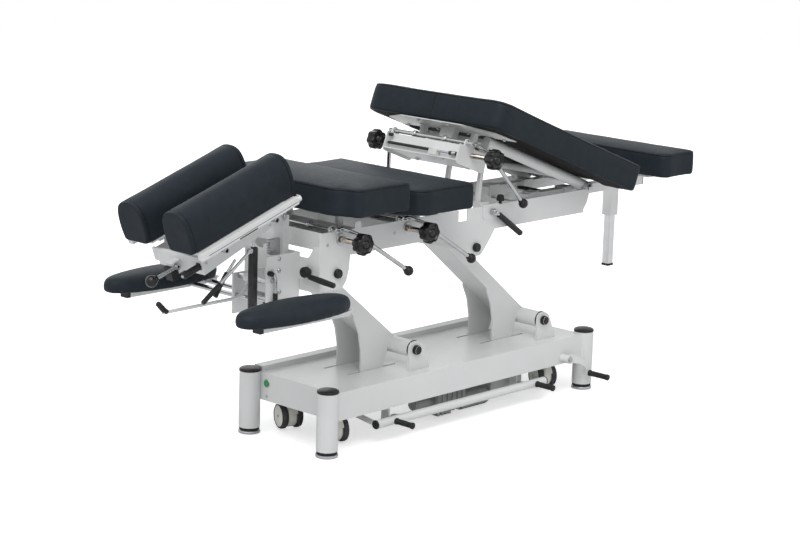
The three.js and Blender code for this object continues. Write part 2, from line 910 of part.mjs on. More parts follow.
function liftActuator() {
  const y0 = actuatorY - actuatorWidth / 2;
  const y1 = actuatorY + actuatorWidth / 2;
  const z0 = actuatorZ - gearHeight / 2;
  const z1 = actuatorZ + gearHeight / 2;
  const gearFoot = gearHeadX + gearLength;
  const pieces = [span(gearHeadX, gearFoot, y0, y1, z0, z1)];
  const pitch = gearLength / gearRibs;
  for (let i = 0; i < gearRibs; i++) {
    const x = gearHeadX + (i + 1 / 2) * pitch;
    pieces.push(span(x - pitch / 4, x + pitch / 4, y0 - gearRibDepth, y1 + gearRibDepth,
      z0 - gearRibDepth, z1 + gearRibDepth));
  }
  pieces.push(barX(actuatorY, motorZ, gearFoot - overrun, gearFoot + motorLength, motorRadius, roundSides));
  pieces.push(barX(actuatorY, actuatorZ, gearHeadX - actuatorRodLength, gearHeadX + overrun, actuatorRodRadius));
  pieces.push(span(hangerRailHeadX - hangerWidth / 2, hangerRailHeadX + hangerWidth / 2, y0, y1,
    z1 - overrun, railBottom - gap));
  return part("lift_actuator", join(pieces), greyHousing());
}

function controlBox() {
  const x1 = boxX + boxLength;
  const y1 = boxY + boxWidth;
  const z1 = boxBottom + boxHeight;
  const outline = rounded([
    [boxX, boxY, boxCorner],
    [x1, boxY, boxCorner],
    [x1, y1, boxCorner],
    [boxX, y1, boxCorner],
  ]);
  const glandZ = boxBottom + boxHeight / 2;
  const pieces = [
    plateZ(outline, boxBottom, z1),
    span(hangerRailFootX, hangerRailFootX + hangerWidth / 2, boxY + boxCorner, y1 - boxCorner,
      z1 - overrun, railBottom - gap),
    barX((boxY + y1) / 2, glandZ, x1 - overrun, x1 + glandLength, glandRadius),
  ];
  return part("control_box", join(pieces), blackPlastic());
}

// A lift arm, measured from its lower pivot.
function liftArm(name, topGap) {
  const length = Math.hypot(armReach, armRise);
  const lowerEnd = earInner - gap;
  const upperEnd = frameInner - gap;
  const angle = Math.atan2(armRise, armReach);
  const beam = span(-length, 0, -armWidth / 2, armWidth / 2, -armDepth / 2, armDepth / 2).rotateY(angle);
  const crank = new THREE.Shape(crankShares.map(([x, z]) => new THREE.Vector2(x * crankBack, z * crankDrop)));
  const pieces = [
    beam,
    barY(0, 0, -lowerEnd, lowerEnd, lowerTubeRadius, roundSides),
    barY(-armReach, armRise, -upperEnd, upperEnd, upperTubeRadius, roundSides),
    barY(-crankPinBack, -crankDrop, -armWidth / 2, armWidth / 2, crankPinRadius, rodSides),
  ];
  const holes = [];
  for (const side of bothSides) {
    const y0 = side > 0 ? armWidth / 2 - crankThickness : -armWidth / 2;
    const y1 = y0 + crankThickness;
    pieces.push(plateY(crank, y0, y1));
    pieces.push(barY(-crankPinBack, -crankDrop, y0, y1, crankLugRadius));
    for (const [x, z, end, room] of [[0, 0, lowerEnd, gap], [-armReach, armRise, upperEnd, topGap]]) {
      const outer = side * (end + overrun);
      const inner = side * (end - pivotPinLength - room);
      holes.push(barY(x, z, Math.min(inner, outer), Math.max(inner, outer),
        boreOf(pivotPinRadius + room - gap, rodSides), rodSides));
    }
  }
  return part(name, cut(join(pieces), holes), powderCoat());
}

// Top frame
const framePivotXs = [headPivotX - footPivotX, 0];
const frameOuter = frameInner + frameSheet;

function sidePlateShape() {
  const shape = new THREE.Shape();
  const webMid = -webHeadX / 2;
  shape.moveTo(-frameHead, frameTop);
  shape.lineTo(-frameHead, -pendantDrop);
  shape.lineTo(-pendantLowX, -pendantDrop);
  shape.quadraticCurveTo(-pendantHighX, -pendantDrop / 2, -pendantHighX, beamBottom);
  shape.lineTo(-webHeadX, beamBottom);
  shape.quadraticCurveTo(webMid, -webDrop / 2, -upperTubeRadius, -webDrop);
  shape.lineTo(upperTubeRadius, -webDrop);
  shape.quadraticCurveTo(webFootX / 2, -webDrop / 2, webFootX, beamBottom);
  shape.lineTo(footRailX, beamBottom);
  shape.quadraticCurveTo(frameFoot, beamBottom, frameFoot + pelvicBarrelRadius, frameTop);
  shape.closePath();
  return shape;
}

function endPlateShape() {
  return rounded([
    [-frameInner, endPlateShoulderTop],
    [-frameInner, -endPlateBottom],
    [frameInner, -endPlateBottom],
    [frameInner, endPlateShoulderTop],
    [endPlateShoulder, endPlateShoulderTop],
    [endPlateTopWidth, endPlateTop, endPlateBottom / 4],
    [-endPlateTopWidth, endPlateTop, endPlateBottom / 4],
    [-endPlateShoulder, endPlateShoulderTop],
  ]);
}

function topFrame() {
  const railBottomZ = slideRailTop - slideRailSize - gap - slideSleeveWall;
  const sleeveTopZ = slideRailTop + gap + slideSleeveWall;
  const sleeveHalf = slideRailSize / 2 + gap + slideSleeveWall;
  const pieces = [
    plateX(endPlateShape(), -frameHead, -frameHead + endPlateThickness),
    span(footRailX, footRailX + crossRailThickness, -frameOuter, frameOuter, beamBottom, railBottomZ + gap),
    span(slideSleeveXs[0], slideSleeveXs[0] + crossRailThickness, -frameOuter, frameOuter,
      beamBottom, railBottomZ + gap),
  ];
  const holes = [];
  for (const side of bothSides) {
    const y0 = side > 0 ? frameInner : -frameOuter;
    const y1 = y0 + frameSheet;
    const flangeY = side > 0 ? frameInner - flangeWidth : -frameInner;
    const tab = rounded([
      [earTabX - earTabLength / 2, frameTop - overrun],
      [earTabX - earTabLength / 2, frameTop + earTabHeight, earTabLength / 3],
      [earTabX + earTabLength / 2, frameTop + earTabHeight, earTabLength / 3],
      [earTabX + earTabLength / 2, frameTop - overrun],
    ]);
    pieces.push(plateY(sidePlateShape(), y0, y1));
    pieces.push(plateY(tab, y0, y1));
    pieces.push(barY(pelvicHingeX, pelvicHingeZ, y0, y1, pelvicBarrelRadius));
    pieces.push(span(flangeHeadX, flangeFootX, flangeY, flangeY + flangeWidth,
      frameTop - flangeThickness, frameTop));
    const pinEnd = side * (frameInner - pelvicPinLength);
    const wall = side * frameOuter;
    pieces.push(barY(pelvicHingeX, pelvicHingeZ, Math.min(pinEnd, wall), Math.max(pinEnd, wall),
      pelvicPinRadius, rodSides));
    for (const x of framePivotXs) {
      const pin = side * (frameInner - pivotPinLength);
      pieces.push(barY(x, 0, Math.min(pin, wall), Math.max(pin, wall), pivotPinRadius, rodSides));
    }
    for (const unit of [thoracic, lumbar]) {
      holes.push(barY(unit.x, unit.z, y0 - overrun, y1 + overrun, knobBushRadius + gap));
    }
    holes.push(span(notchX, notchX + notchLength, y0 - overrun, y1 + overrun,
      frameTop - notchDepth, frameTop + overrun));
    for (const x of slideSleeveXs) {
      const y = side * slideRailY;
      pieces.push(span(x, x + slideSleeveLength, y - sleeveHalf, y + sleeveHalf, railBottomZ, sleeveTopZ));
      holes.push(span(x - overrun, x + slideSleeveLength + overrun, y - slideRailSize / 2 - gap,
        y + slideRailSize / 2 + gap, slideRailTop - slideRailSize - gap, slideRailTop + gap));
    }
  }
  return part("top_frame", cut(join(pieces), holes), powderCoat());
}

// Drop sections, measured from the axis of the tension knobs
function trayEndShape() {
  const ear = cockingEarRadius;
  return rounded([
    [-trayHead, trayTop],
    [-trayHead, -trayEndDrop, trayEndCorner],
    [trayFoot, -trayEndDrop, trayEndCorner],
    [trayFoot, trayTop],
    [cockingX + 2 * ear, trayTop],
    [cockingX + ear, cockingZ + ear, ear],
    [cockingX - ear, cockingZ + ear, ear],
    [cockingX - ear, trayTop],
  ]);
}

function dropTray(unit, hangers) {
  const pieces = [...hangers];
  const inner = trayEndY - trayEndSheet;
  const holes = [barY(0, 0, -trayEndY - overrun, trayEndY + overrun, boreOf(knobShaftRadius))];
  pieces.push(span(-trayHead, trayFoot, -inner, inner, -trayBottom, -trayBottom + traySheet));
  pieces.push(span(-trayHead, -trayHead + traySheet, -inner, inner, -trayBottom, trayTop));
  pieces.push(span(trayFoot - traySheet, trayFoot, -inner, inner, -trayBottom, trayTop));
  holes.push(barY(cockingX, cockingZ, -trayEndY - overrun, trayEndY + overrun, boreOf(cockingRadius)));
  for (const side of bothSides) {
    const y0 = side > 0 ? inner : -trayEndY;
    pieces.push(plateY(trayEndShape(), y0, y0 + trayEndSheet));
    pieces.push(barZ(postX, side * postY, -trayBottom, postBossTop, postBossRadius, rodSides));
    holes.push(barZ(postX, side * postY, -trayBottom - overrun, postBossTop + overrun,
      postRadius + unit.postPlay + gap, rodSides));
  }
  return part(unit.name + "_tray", cut(join(pieces), holes), powderCoat());
}

function hexPlate(unit, extras = []) {
  const top = unit.bottom - gap;
  const shape = rounded([
    [hexTipX, -hexTipY, hexThickness],
    [hexTipX + hexThickness, -hexShoulderY],
    [hexTipX + hexThickness, hexShoulderY],
    [hexTipX, hexTipY, hexThickness],
    [-hexHeadX, postY, hexThickness],
    [-hexHeadX, -postY, hexThickness],
  ]);
  const posts = bothSides.map((side) =>
    barZ(postX, side * postY, -postDepth - postRadius, top - hexThickness / 2, postRadius, rodSides));
  return part(unit.name + "_plate", join([plateZ(shape, top - hexThickness, top), ...posts, ...extras]), steel());
}

function starShape() {
  const count = knobLobes * knobPointsPerLobe;
  return new THREE.Shape(Array.from({ length: count }, (_, i) => {
    const angle = (2 * Math.PI * i) / count;
    const radius = knobRadius * (1 - knobLobeShare + knobLobeShare * Math.cos(knobLobes * angle));
    return new THREE.Vector2(radius * Math.cos(angle), radius * Math.sin(angle));
  }));
}

function tensionKnobs(unit) {
  const reach = knobY + knobLength;
  const pieces = [barY(0, 0, -reach, reach, knobShaftRadius)];
  for (const side of bothSides) {
    const start = side * knobY;
    const shoulder = side * (knobY + knobWaistLength);
    const end = side * reach;
    pieces.push(barY(0, 0, Math.min(start, shoulder), Math.max(start, shoulder), knobWaistRadius));
    pieces.push(plateY(starShape(), Math.min(shoulder, end), Math.max(shoulder, end)));
  }
  return part(unit.name + "_knob", join(pieces), blackPlastic());
}

function cockingLever(unit, extras = []) {
  const at = (reachShare, dropShare, y) => [reachShare * leverReach, -y, -dropShare * unit.leverDrop];
  const rod = sweep([
    [0, -leverForkY, 0],
    at(...leverShares[0], leverForkY + leverRadius),
    at(...leverShares[1], leverOutY),
    at(...leverShares[2], leverOutY),
    at(1, 1, leverOutY),
  ], leverRadius);
  const farEnd = extras.length ? leverForkY + leverRadius : trayEndY + leverRadius;
  const pieces = [
    barY(0, 0, -leverForkY - leverRadius, farEnd, cockingRadius),
    rod,
    ball(...at(1, 1, leverOutY), leverBallRadius),
    ...extras,
  ];
  for (const side of bothSides) {
    pieces.push(barY(0, 0, side * camY - camWidth / 2, side * camY + camWidth / 2, camRadius, rodSides));
  }
  const lever = part(unit.name + "_lever", join(pieces), chrome());
  return groupAt(cockingX, 0, cockingZ, lever);
}

function unitCushion(unit) {
  const half = cushionWidth / 2;
  const corners = [
    [unit.foot, -half, cushionRound],
    [unit.foot, half, cushionRound],
    [-unit.head + unit.chamferX, half, unit.chamferX / 2],
    [-unit.head, half - unit.chamferY, unit.chamferX / 2],
    [-unit.head, -half + unit.chamferY, unit.chamferX / 2],
    [-unit.head + unit.chamferX, -half, unit.chamferX / 2],
  ];
  const solid = cushion(corners, unit.bottom, unit.height, unit.crown, cushionRound);
  return part(unit.name + "_cushion", solid, vinyl());
}

function dropSection(unit, plate, hangers = [], leverExtras = []) {
  return groupAt(unit.x, 0, unit.z, dropTray(unit, hangers), plate, unitCushion(unit), tensionKnobs(unit),
    cockingLever(unit, leverExtras));
}

// Pelvic section, measured from its hinge
const farArmLength = 150;

function farPelvicArm() {
  const angle = pelvicTilt * degree;
  const y = leverForkY + leverBallRadius / 2;
  const tip = [farArmLength * Math.sin(angle), y, -farArmLength * Math.cos(angle)];
  return [
    sweep([[0, leverForkY, 0], [tip[0] / 2, y, tip[2] / 2], tip], leverRadius, gripSteps),
    ball(...tip, leverBallRadius),
  ];
}

function pelvicPlate() {
  const top = pelvic.bottom - gap;
  const foot = dropRodX - pelvic.x + dropLugRadius;
  const rodX = dropRodX - pelvic.x;
  const rodZ = dropRodZ - pelvic.z;
  const extras = bothSides.flatMap((side) => {
    const outer = dropLugY + dropLugWidth;
    const y0 = side > 0 ? outer - dropBarWidth : -outer;
    const lugY = side > 0 ? dropLugY : -outer;
    const lug = join([
      barY(rodX, rodZ, lugY, lugY + dropLugWidth, dropLugRadius, rodSides),
      span(rodX - dropLugRadius, rodX + dropLugRadius, lugY, lugY + dropLugWidth, rodZ, top),
    ]);
    const hole = barY(rodX, rodZ, lugY - overrun, lugY + dropLugWidth + overrun,
      boreOf(dropRodRadius, rodSides), rodSides);
    return [span(hexTipX - overrun, foot, y0, y0 + dropBarWidth, top - hexThickness, top), cut(lug, [hole])];
  });
  return hexPlate(pelvic, extras);
}

// An arc of square bar about the pelvic hinge, at height angles from start to end.
function arcStrut(y, start, end) {
  const shape = new THREE.Shape();
  const inner = strutRadius - strutThickness;
  const outer = strutRadius + strutThickness;
  const from = Math.PI - start;
  const to = Math.PI - end;
  shape.absarc(0, 0, outer, from, to, false);
  shape.absarc(0, 0, inner, to, from, true);
  return plateY(shape, y - strutThickness, y + strutThickness, bendSteps);
}

function pelvicFrame() {
  const tubeHead = pelvic.x + trayFoot + gap;
  const pieces = [
    barY(dropRodX, dropRodZ, -pelvicTubeY, pelvicTubeY, dropRodRadius, rodSides),
    barY(pelvicCrossX, pelvicTubeZ, -pelvicTubeY, pelvicTubeY, pelvicCrossRadius, rodSides),
  ];
  const holes = [];
  for (const side of bothSides) {
    const y = side * pelvicTubeY;
    const barrel = side * (frameInner - gap);
    const barrelInner = side * (pelvicTubeY - pelvicTubeRadius);
    const pin = side * (frameInner - pelvicPinLength - gap);
    pieces.push(barX(y, pelvicTubeZ, tubeHead, dropRodX + dropLugRadius, pelvicTubeRadius));
    pieces.push(barY(0, 0, Math.min(barrel, barrelInner), Math.max(barrel, barrelInner), pelvicBarrelRadius));
    holes.push(barY(0, 0, Math.min(pin, barrel + side * overrun), Math.max(pin, barrel + side * overrun),
      boreOf(pelvicPinRadius, rodSides), rodSides));
  }
  const tilt = pelvicTilt * degree;
  const nearY = -pelvicTubeY - gap;
  pieces.push(arcStrut(nearY, strutTop * degree - tilt, nearStrutBottom * degree - tilt));
  pieces.push(arcStrut(0, strutTop * degree - tilt, midStrutBottom * degree - tilt));
  const strutX = -strutRadius;
  pieces.push(span(strutX - strutThickness / 2, strutX + strutFootArm, -pelvicTubeY, pelvicTubeY,
    pelvicTubeZ - strutThickness, pelvicTubeZ + strutThickness));
  return part("pelvic_frame", cut(join(pieces), holes), powderCoat());
}

// Lugs on the foot wall of the pelvic tray, seated against the ends of the two tubes.
function pelvicHangers() {
  const top = pelvicTubeZ - pelvic.z;
  return bothSides.map((side) => {
    const y0 = side * pelvicTubeY - pelvicTubeRadius;
    return span(trayFoot - traySheet, trayFoot, y0, y0 + 2 * pelvicTubeRadius, trayTop - overrun, top);
  });
}

function pelvicSection() {
  const section = groupAt(pelvicHingeX, 0, pelvicHingeZ, pelvicFrame(),
    dropSection(pelvic, pelvicPlate(), pelvicHangers(), farPelvicArm()));
  section.rotation.y = pelvicTilt * degree;
  return section;
}

// Strut clamp and buffers, on the side plates
const strutY = -pelvicTubeY - gap;
const clampX = pelvicHingeX - strutRadius;
const bufferX = clampX - strutThickness + clampTailLength + bufferSpacing;
const clampHandleY = -frameOuter - 2 * gap - clampSheet - clampGripRadius;

function strutClamp() {
  const x0 = clampX - strutThickness;
  const room = strutThickness + gap;
  const flange = frameTop + gap;
  const outerY = -frameOuter - gap;
  const farY = strutY + room + clampWall;
  const tail = rounded([
    [x0, flange + clampSheet],
    [x0, frameTop - clampTailDepth, clampTailDepth / 3],
    [x0 + clampTailLength, frameTop - clampTailDepth, clampTailDepth / 3],
    [x0 + clampTailLength, flange + clampSheet, clampSheet],
  ]);
  const pivotX = x0 + clampPivotX;
  const pivotZ = frameTop - clampPivotDrop;
  const body = join([
    span(x0, x0 + clampLength, -frameInner + gap, farY, frameTop - clampDepth, frameTop + clampRise),
    span(x0, x0 + clampLength, outerY - clampSheet, farY, flange, flange + clampSheet),
    plateY(tail, outerY - clampSheet, outerY),
    barY(pivotX, pivotZ, clampHandleY - clampHandleRadius, outerY, clampHandleRadius),
  ]);
  const passage = span(x0 - overrun, clampX + room + strutBow, strutY - room, strutY + room,
    frameTop - clampDepth - overrun, frameTop + clampRise + overrun);
  return part("strut_clamp", cut(body, [passage]), powderCoat());
}

function strutClampHandle() {
  const y = clampHandleY;
  const bend = new THREE.Vector3(clampBendX, y, clampBendZ);
  const end = new THREE.Vector3(clampHandleReach, y, -clampHandleDrop);
  const gripStart = bend.clone().lerp(end, clampGripShare);
  const gripMiddle = gripStart.clone().lerp(end, 1 / 2);
  const pieces = [
    barY(0, 0, y - clampGripRadius, y + clampGripRadius, clampHandleRadius * 2),
    sweep([[0, y, 0], bend.toArray(), gripMiddle.toArray()], clampHandleRadius),
    sweep([gripStart.toArray(), gripMiddle.toArray(), end.toArray()], clampGripRadius, gripSteps),
  ];
  const bore = barY(0, 0, y - clampHandleRadius - gap, y + clampGripRadius + overrun, boreOf(clampHandleRadius));
  const handle = part("strut_clamp_handle", cut(join(pieces), [bore]), chrome());
  return groupAt(clampX - strutThickness + clampPivotX, 0, frameTop - clampPivotDrop, handle);
}

function buffer(name, side) {
  const profile = [
    [0, 0],
    [bufferBaseRadius / 2, 0],
    [bufferStemRadius, bufferStemHeight],
    [bufferBaseRadius, bufferStemHeight],
    [bufferTopRadius, bufferStemHeight + bufferHeight],
    [0, bufferStemHeight + bufferHeight],
  ];
  const y = side * (frameInner + frameSheet / 2);
  return groupAt(bufferX, y, frameTop + gap, part(name, turned(profile, tubeSides), rubber()));
}

// Foot section
function footRails() {
  const z1 = slideRailTop;
  const z0 = z1 - slideRailSize;
  const boardTop = footCushionBottom - gap;
  const boardBottom = boardTop - footBoardThickness;
  const boardHead = footCushionHead + footBoardInset;
  const boardFoot = footCushionHead + footCushionLength - footBoardInset;
  const half = legSleeveSize / 2;
  const pieces = [];
  for (const side of bothSides) {
    const y = side * slideRailY;
    pieces.push(span(slideRailHeadX, slideRailFootX, y - slideRailSize / 2, y + slideRailSize / 2, z0, z1));
    pieces.push(span(boardHead, slideRailFootX, y - slideRailSize / 2, y + slideRailSize / 2, z0, boardTop));
  }
  pieces.push(span(boardHead, boardFoot, -footBoardY, footBoardY, boardBottom, boardTop));
  pieces.push(span(legX - half, legX + half, -slideRailY, slideRailY, z0, z1));
  pieces.push(span(legX - half, legX + half, -half, half, legSleeveBottom, z1));
  const bore = legSize / 2 + gap;
  const hole = span(legX - bore, legX + bore, -bore, bore, legSleeveBottom - overrun,
    legSleeveBottom + legOverlap + gap);
  return part("foot_rails", cut(join(pieces), [hole]), powderCoat());
}

function supportLeg() {
  const half = legSize / 2;
  const capHalf = legCapSize / 2;
  const capTop = legBottom + legCapHeight;
  return part("support_leg", join([
    span(legX - half, legX + half, -half, half, capTop - overrun, legSleeveBottom + legOverlap),
    span(legX - capHalf, legX + capHalf, -capHalf, capHalf, legBottom, capTop),
  ]), chrome());
}

function footCushion() {
  const half = footCushionWidth / 2;
  const foot = footCushionHead + footCushionLength;
  const corners = [
    [foot, -half, cushionRound],
    [foot, half, cushionRound],
    [footCushionHead, half, cushionRound],
    [footCushionHead, -half, cushionRound],
  ];
  const height = footCushionHeight - cushionCrown;
  return part("foot_cushion", cushion(corners, footCushionBottom, height, cushionCrown, cushionRound), vinyl());
}

// Head unit
const guideBackX = -frameHead - gap;
const sleeveX0 = postCentreX - postDepthX / 2 - gap - sleeveWall;
const guideHeadX = guideBackX - guideLength;

function headGuide() {
  const backX0 = guideBackX - guideBackThickness;
  const cheekNear = guideNearY - guideCheek / 2;
  const cheekFar = guideFarY - guideCheek / 2;
  const sleeveHalfY = postWidthY / 2 + gap + sleeveWall;
  const pieces = [
    span(backX0, guideBackX, cheekNear, cheekFar + guideCheek, guideFarTop - guideLength / 4, guideTop),
    span(guideHeadX, guideBackX, cheekNear, cheekNear + guideCheek, guideNearBottom, guideTop),
    span(guideHeadX, guideBackX, cheekFar, cheekFar + guideCheek, guideFarBottom, guideFarTop),
    span(sleeveX0, backX0 + overrun, postCentreY - sleeveHalfY, postCentreY + sleeveHalfY, sleeveBottom, sleeveTop),
  ];
  for (const x of crossRodXs) {
    pieces.push(barY(x, crossRodZ, -crossRodReach, crossRodReach, crossRodRadius, rodSides));
  }
  pieces.push(barY(upperRodX, upperRodZ, cheekNear, cheekFar + guideCheek, crossRodRadius, rodSides));
  const holeX = postDepthX / 2 + gap;
  const holeY = postWidthY / 2 + gap;
  const hole = span(postCentreX - holeX, postCentreX + holeX, postCentreY - holeY, postCentreY + holeY,
    sleeveBottom - overrun, sleeveTop + overrun);
  return part("head_guide", cut(join(pieces), [hole]), powderCoat());
}

function headPost() {
  const x0 = postCentreX - postDepthX / 2;
  const y0 = postCentreY - postWidthY / 2;
  const rackStart = rackX + rackToothDepth;
  const pitch = (rackTop - rackBottom) / rackTeeth;
  const rack = new THREE.Shape();
  rack.moveTo(x0 + overrun, rackBottom);
  for (let i = 0; i < rackTeeth; i++) {
    rack.lineTo(rackStart, rackBottom + i * pitch);
    rack.lineTo(rackX, rackBottom + (i + 1 / 2) * pitch);
  }
  rack.lineTo(rackStart, rackTop);
  rack.lineTo(x0 + overrun, rackTop);
  const barrelEnd = y0 + postWidthY;
  const pieces = [
    span(x0, x0 + postDepthX, y0, barrelEnd, headPostBottom, headPostTop),
    plateY(rack, postCentreY - rackWidth / 2, postCentreY + rackWidth / 2),
    span(tiltX, x0 + postDepthX, y0, barrelEnd, tiltZ - tiltBarrelRadius, tiltZ),
    barY(tiltX, tiltZ, y0, barrelEnd, tiltBarrelRadius),
  ];
  const bore = barY(tiltX, tiltZ, y0 - overrun, barrelEnd + overrun, boreOf(tiltPinRadius, rodSides), rodSides);
  return part("head_post", cut(join(pieces), [bore]), powderCoat());
}

// Head tray and what it carries, measured from the head end of the face cushions
function headTray() {
  const half = headTrayWidth / 2;
  const sheet = headTraySheet;
  const wall = rounded([
    [headTrayHead, headTrayHeadBottom],
    [headTrayFoot, headTrayFootBottom],
    [headTrayFoot, headTrayTop],
    [headTrayHead, headTrayTop],
  ]);
  const floor = rounded([
    [headTrayHead, headTrayHeadBottom],
    [headTrayFoot, headTrayFootBottom],
    [headTrayFoot, headTrayFootBottom + sheet],
    [headTrayHead, headTrayHeadBottom + sheet],
  ]);
  const pieces = [
    plateY(floor, -half, half),
    span(headTrayHead, headTrayHead + sheet, -half, half, headTrayHeadBottom, headTrayTop),
    span(headTrayFoot - sheet, headTrayFoot, -half, half, headTrayFootBottom, headTrayTop),
    span(ballLeverA - clampBlockSize / 2, headTrayHead + sheet, -clampBlockSize / 2, clampBlockSize / 2,
      ballLeverB - clampBlockSize, ballLeverB + clampBlockSize / 2),
  ];
  for (const side of bothSides) {
    const y0 = side > 0 ? half - sheet : -half;
    pieces.push(plateY(wall, y0, y0 + sheet));
  }
  for (const x of carrierXs) {
    pieces.push(barY(x, carrierRodZ, -headRailOuter, headRailOuter, carrierRodRadius, rodSides));
    for (const side of bothSides) {
      const y0 = side > 0 ? half - sheet : -half;
      pieces.push(span(x - carrierRodRadius * 2, x + carrierRodRadius * 2, y0, y0 + sheet, headTrayTop - overrun,
        carrierRodZ + carrierRodRadius));
    }
  }
  const lugRadius = tiltBarrelRadius;
  const y0 = postCentreY - postWidthY / 2;
  const lugYs = [y0 - gap - tiltLugWidth, y0 + postWidthY + gap];
  for (const y of lugYs) {
    const lug = rounded([
      [headTrayFoot - sheet, headTrayFootBottom],
      [headHingeA + lugRadius, headHingeB - lugRadius, lugRadius],
      [headHingeA + lugRadius, headHingeB + lugRadius, lugRadius],
      [headTrayFoot - sheet, headTrayTop],
    ]);
    pieces.push(plateY(lug, y, y + tiltLugWidth));
  }
  pieces.push(barY(headHingeA, headHingeB, lugYs[0], lugYs[1] + tiltLugWidth, tiltPinRadius, rodSides));
  const springEyeX = headHingeA + springLocal.x;
  const springEyeZ = headHingeB + springLocal.y;
  const bracketY = springY + springEyeWidth / 2 + gap;
  pieces.push(span(springEyeX - springEyeRadius, springEyeX + springEyeRadius, bracketY, bracketY + sheet,
    springEyeZ - springEyeRadius, headTrayFootBottom + sheet));
  pieces.push(barY(springEyeX, springEyeZ, springY - springEyeWidth / 2, bracketY + sheet,
    springPinRadius, rodSides));
  const releaseBracket = releaseY + releaseRadius + gap;
  pieces.push(span(releaseA - ballBossRadius, releaseA + ballBossRadius, releaseBracket, releaseBracket + sheet,
    releaseB - ballBossRadius, headTrayFootBottom - sheet));
  pieces.push(barY(releaseA, releaseB, releaseY - releaseRadius, releaseBracket + sheet,
    springPinRadius, rodSides));
  const window = headFlangeWindow / 2;
  const windows = bothSides.map((side) =>
    span(headTrayHead - overrun, headTrayHead + sheet + overrun, side * half / 2 - window, side * half / 2 + window,
      headTrayHeadBottom + window, headTrayTop - window / 2));
  windows.push(barY(ballLeverA, ballLeverB, -clampBlockSize, clampBlockSize,
    boreOf(springPinRadius, rodSides), rodSides));
  return part("head_tray", cut(join(pieces), windows), powderCoat());
}

// The gas spring's upper eye, turned from level into the tilted head unit.
const springLocal = new THREE.Vector2(springX, springZ).rotateAround(new THREE.Vector2(), headTilt * degree);

function headRail(name, side) {
  const y0 = side > 0 ? headRailInner : -headRailOuter;
  const y1 = y0 + headRailOuter - headRailInner;
  const boardY0 = side > 0 ? headBoardInner : -headRailInner;
  const boardY1 = side > 0 ? headRailInner : -headBoardInner;
  const top = -gap;
  const pieces = [
    span(headRailHead, headRailFoot, y0, y1, headRailBottom, headRailTop),
    span(headRailHead, headRailFoot - carrierLength, boardY0 - overrun * (side > 0 ? 0 : 1),
      boardY1 + overrun * (side > 0 ? 1 : 0), top - headBoardThickness, top),
    barX((y0 + y1) / 2, (headRailTop + headRailBottom) / 2, headRailFoot - overrun, headRailFoot + thumbLength,
      thumbRadius),
  ];
  const holes = [];
  const carrierY = side * (headRailInner - carrierWidth / 2);
  for (const x of carrierXs) {
    pieces.push(span(x - carrierLength / 2, x + carrierLength / 2, carrierY - carrierWidth / 2,
      carrierY + carrierWidth / 2, carrierBottom, top - headBoardThickness / 2));
    holes.push(barY(x, carrierRodZ, carrierY - carrierWidth, carrierY + 2 * carrierWidth,
      boreOf(carrierRodRadius, rodSides), rodSides));
  }
  return part(name, cut(join(pieces), holes), powderCoat());
}

// Face cushion: a D section along the head unit, smaller at its rounded ends.
const faceSectionShares = [
  [-0.8, 0],
  [0.8, 0],
  [0.93, 0.1],
  [1, 0.3],
  [1, 0.52],
  [0.93, 0.72],
  [0.76, 0.88],
  [0.45, 0.975],
  [0, 1],
  [-0.45, 0.975],
  [-0.76, 0.88],
  [-0.93, 0.72],
  [-1, 0.52],
  [-1, 0.3],
  [-0.93, 0.1],
];
const faceStationShares = [
  [0.004, 0.86],
  [0.02, 0.96],
  [0.06, 1],
  [0.3, 0.985],
  [0.7, 0.985],
  [0.94, 1],
  [0.98, 0.96],
  [0.996, 0.86],
];

function faceCushion(name, side) {
  const centre = side * headCushionY;
  const rings = faceStationShares.map(([along, size]) =>
    faceSectionShares.map(([across, up]) => [
      along * headCushionLength,
      centre + (across * size * headCushionWidth) / 2,
      up * size * headCushionHeight,
    ]));
  const mid = headCushionHeight / 2;
  return part(name, loft(rings, [0, centre, mid], [headCushionLength, centre, mid]), vinyl());
}

function ballLever() {
  const inner = clampBlockSize / 2 + gap;
  const outer = inner + 2 * ballLeverRadius;
  const y = -inner - ballLeverRadius;
  const middle = [-ballLeverLength / 2, y, -ballLeverRadius / 2];
  const end = [-ballLeverLength, y, -ballLeverRadius];
  const pieces = [
    barY(0, 0, -outer, inner, springPinRadius, rodSides),
    barY(0, 0, -outer, -inner, ballBossRadius),
    sweep([[0, y, 0], middle, end], ballLeverRadius, gripSteps),
    ball(...end, headBallRadius),
  ];
  return groupAt(ballLeverA, 0, ballLeverB, part("head_drop_lever", join(pieces), chrome()));
}

function releaseLever() {
  const angle = releaseAngle * degree;
  const at = (distance) => [distance * Math.cos(angle), 0, -distance * Math.sin(angle)];
  const gripEnd = releaseLength + releaseGripLength;
  const pieces = [
    barY(0, 0, -releaseRadius, releaseRadius, ballBossRadius),
    sweep([at(0), at(releaseLength / 2), at(releaseLength + overrun)], releaseRadius, gripSteps),
    sweep([at(releaseLength), at((releaseLength + gripEnd) / 2), at(gripEnd)], releaseGripRadius, gripSteps),
  ];
  const bore = barY(0, 0, -releaseRadius - overrun, releaseRadius + overrun,
    boreOf(springPinRadius, rodSides), rodSides);
  return groupAt(releaseA, releaseY, releaseB, part("head_release_lever", cut(join(pieces), [bore]), chrome()));
}

function gasSpring() {
  const rodEnd = -springRodLength;
  const half = springEyeWidth / 2;
  const pieces = [
    barY(0, 0, -half, half, springEyeRadius),
    barZ(0, 0, rodEnd - overrun, 0, springRodRadius, rodSides),
    barZ(0, 0, rodEnd - springTubeLength, rodEnd, springTubeRadius),
  ];
  const bore = barY(0, 0, -half - overrun, half + overrun, boreOf(springPinRadius, rodSides), rodSides);
  const spring = part("head_gas_spring", cut(join(pieces), [bore]), blackPlastic());
  return groupAt(tiltX + springX, springY, tiltZ + springZ, spring);
}

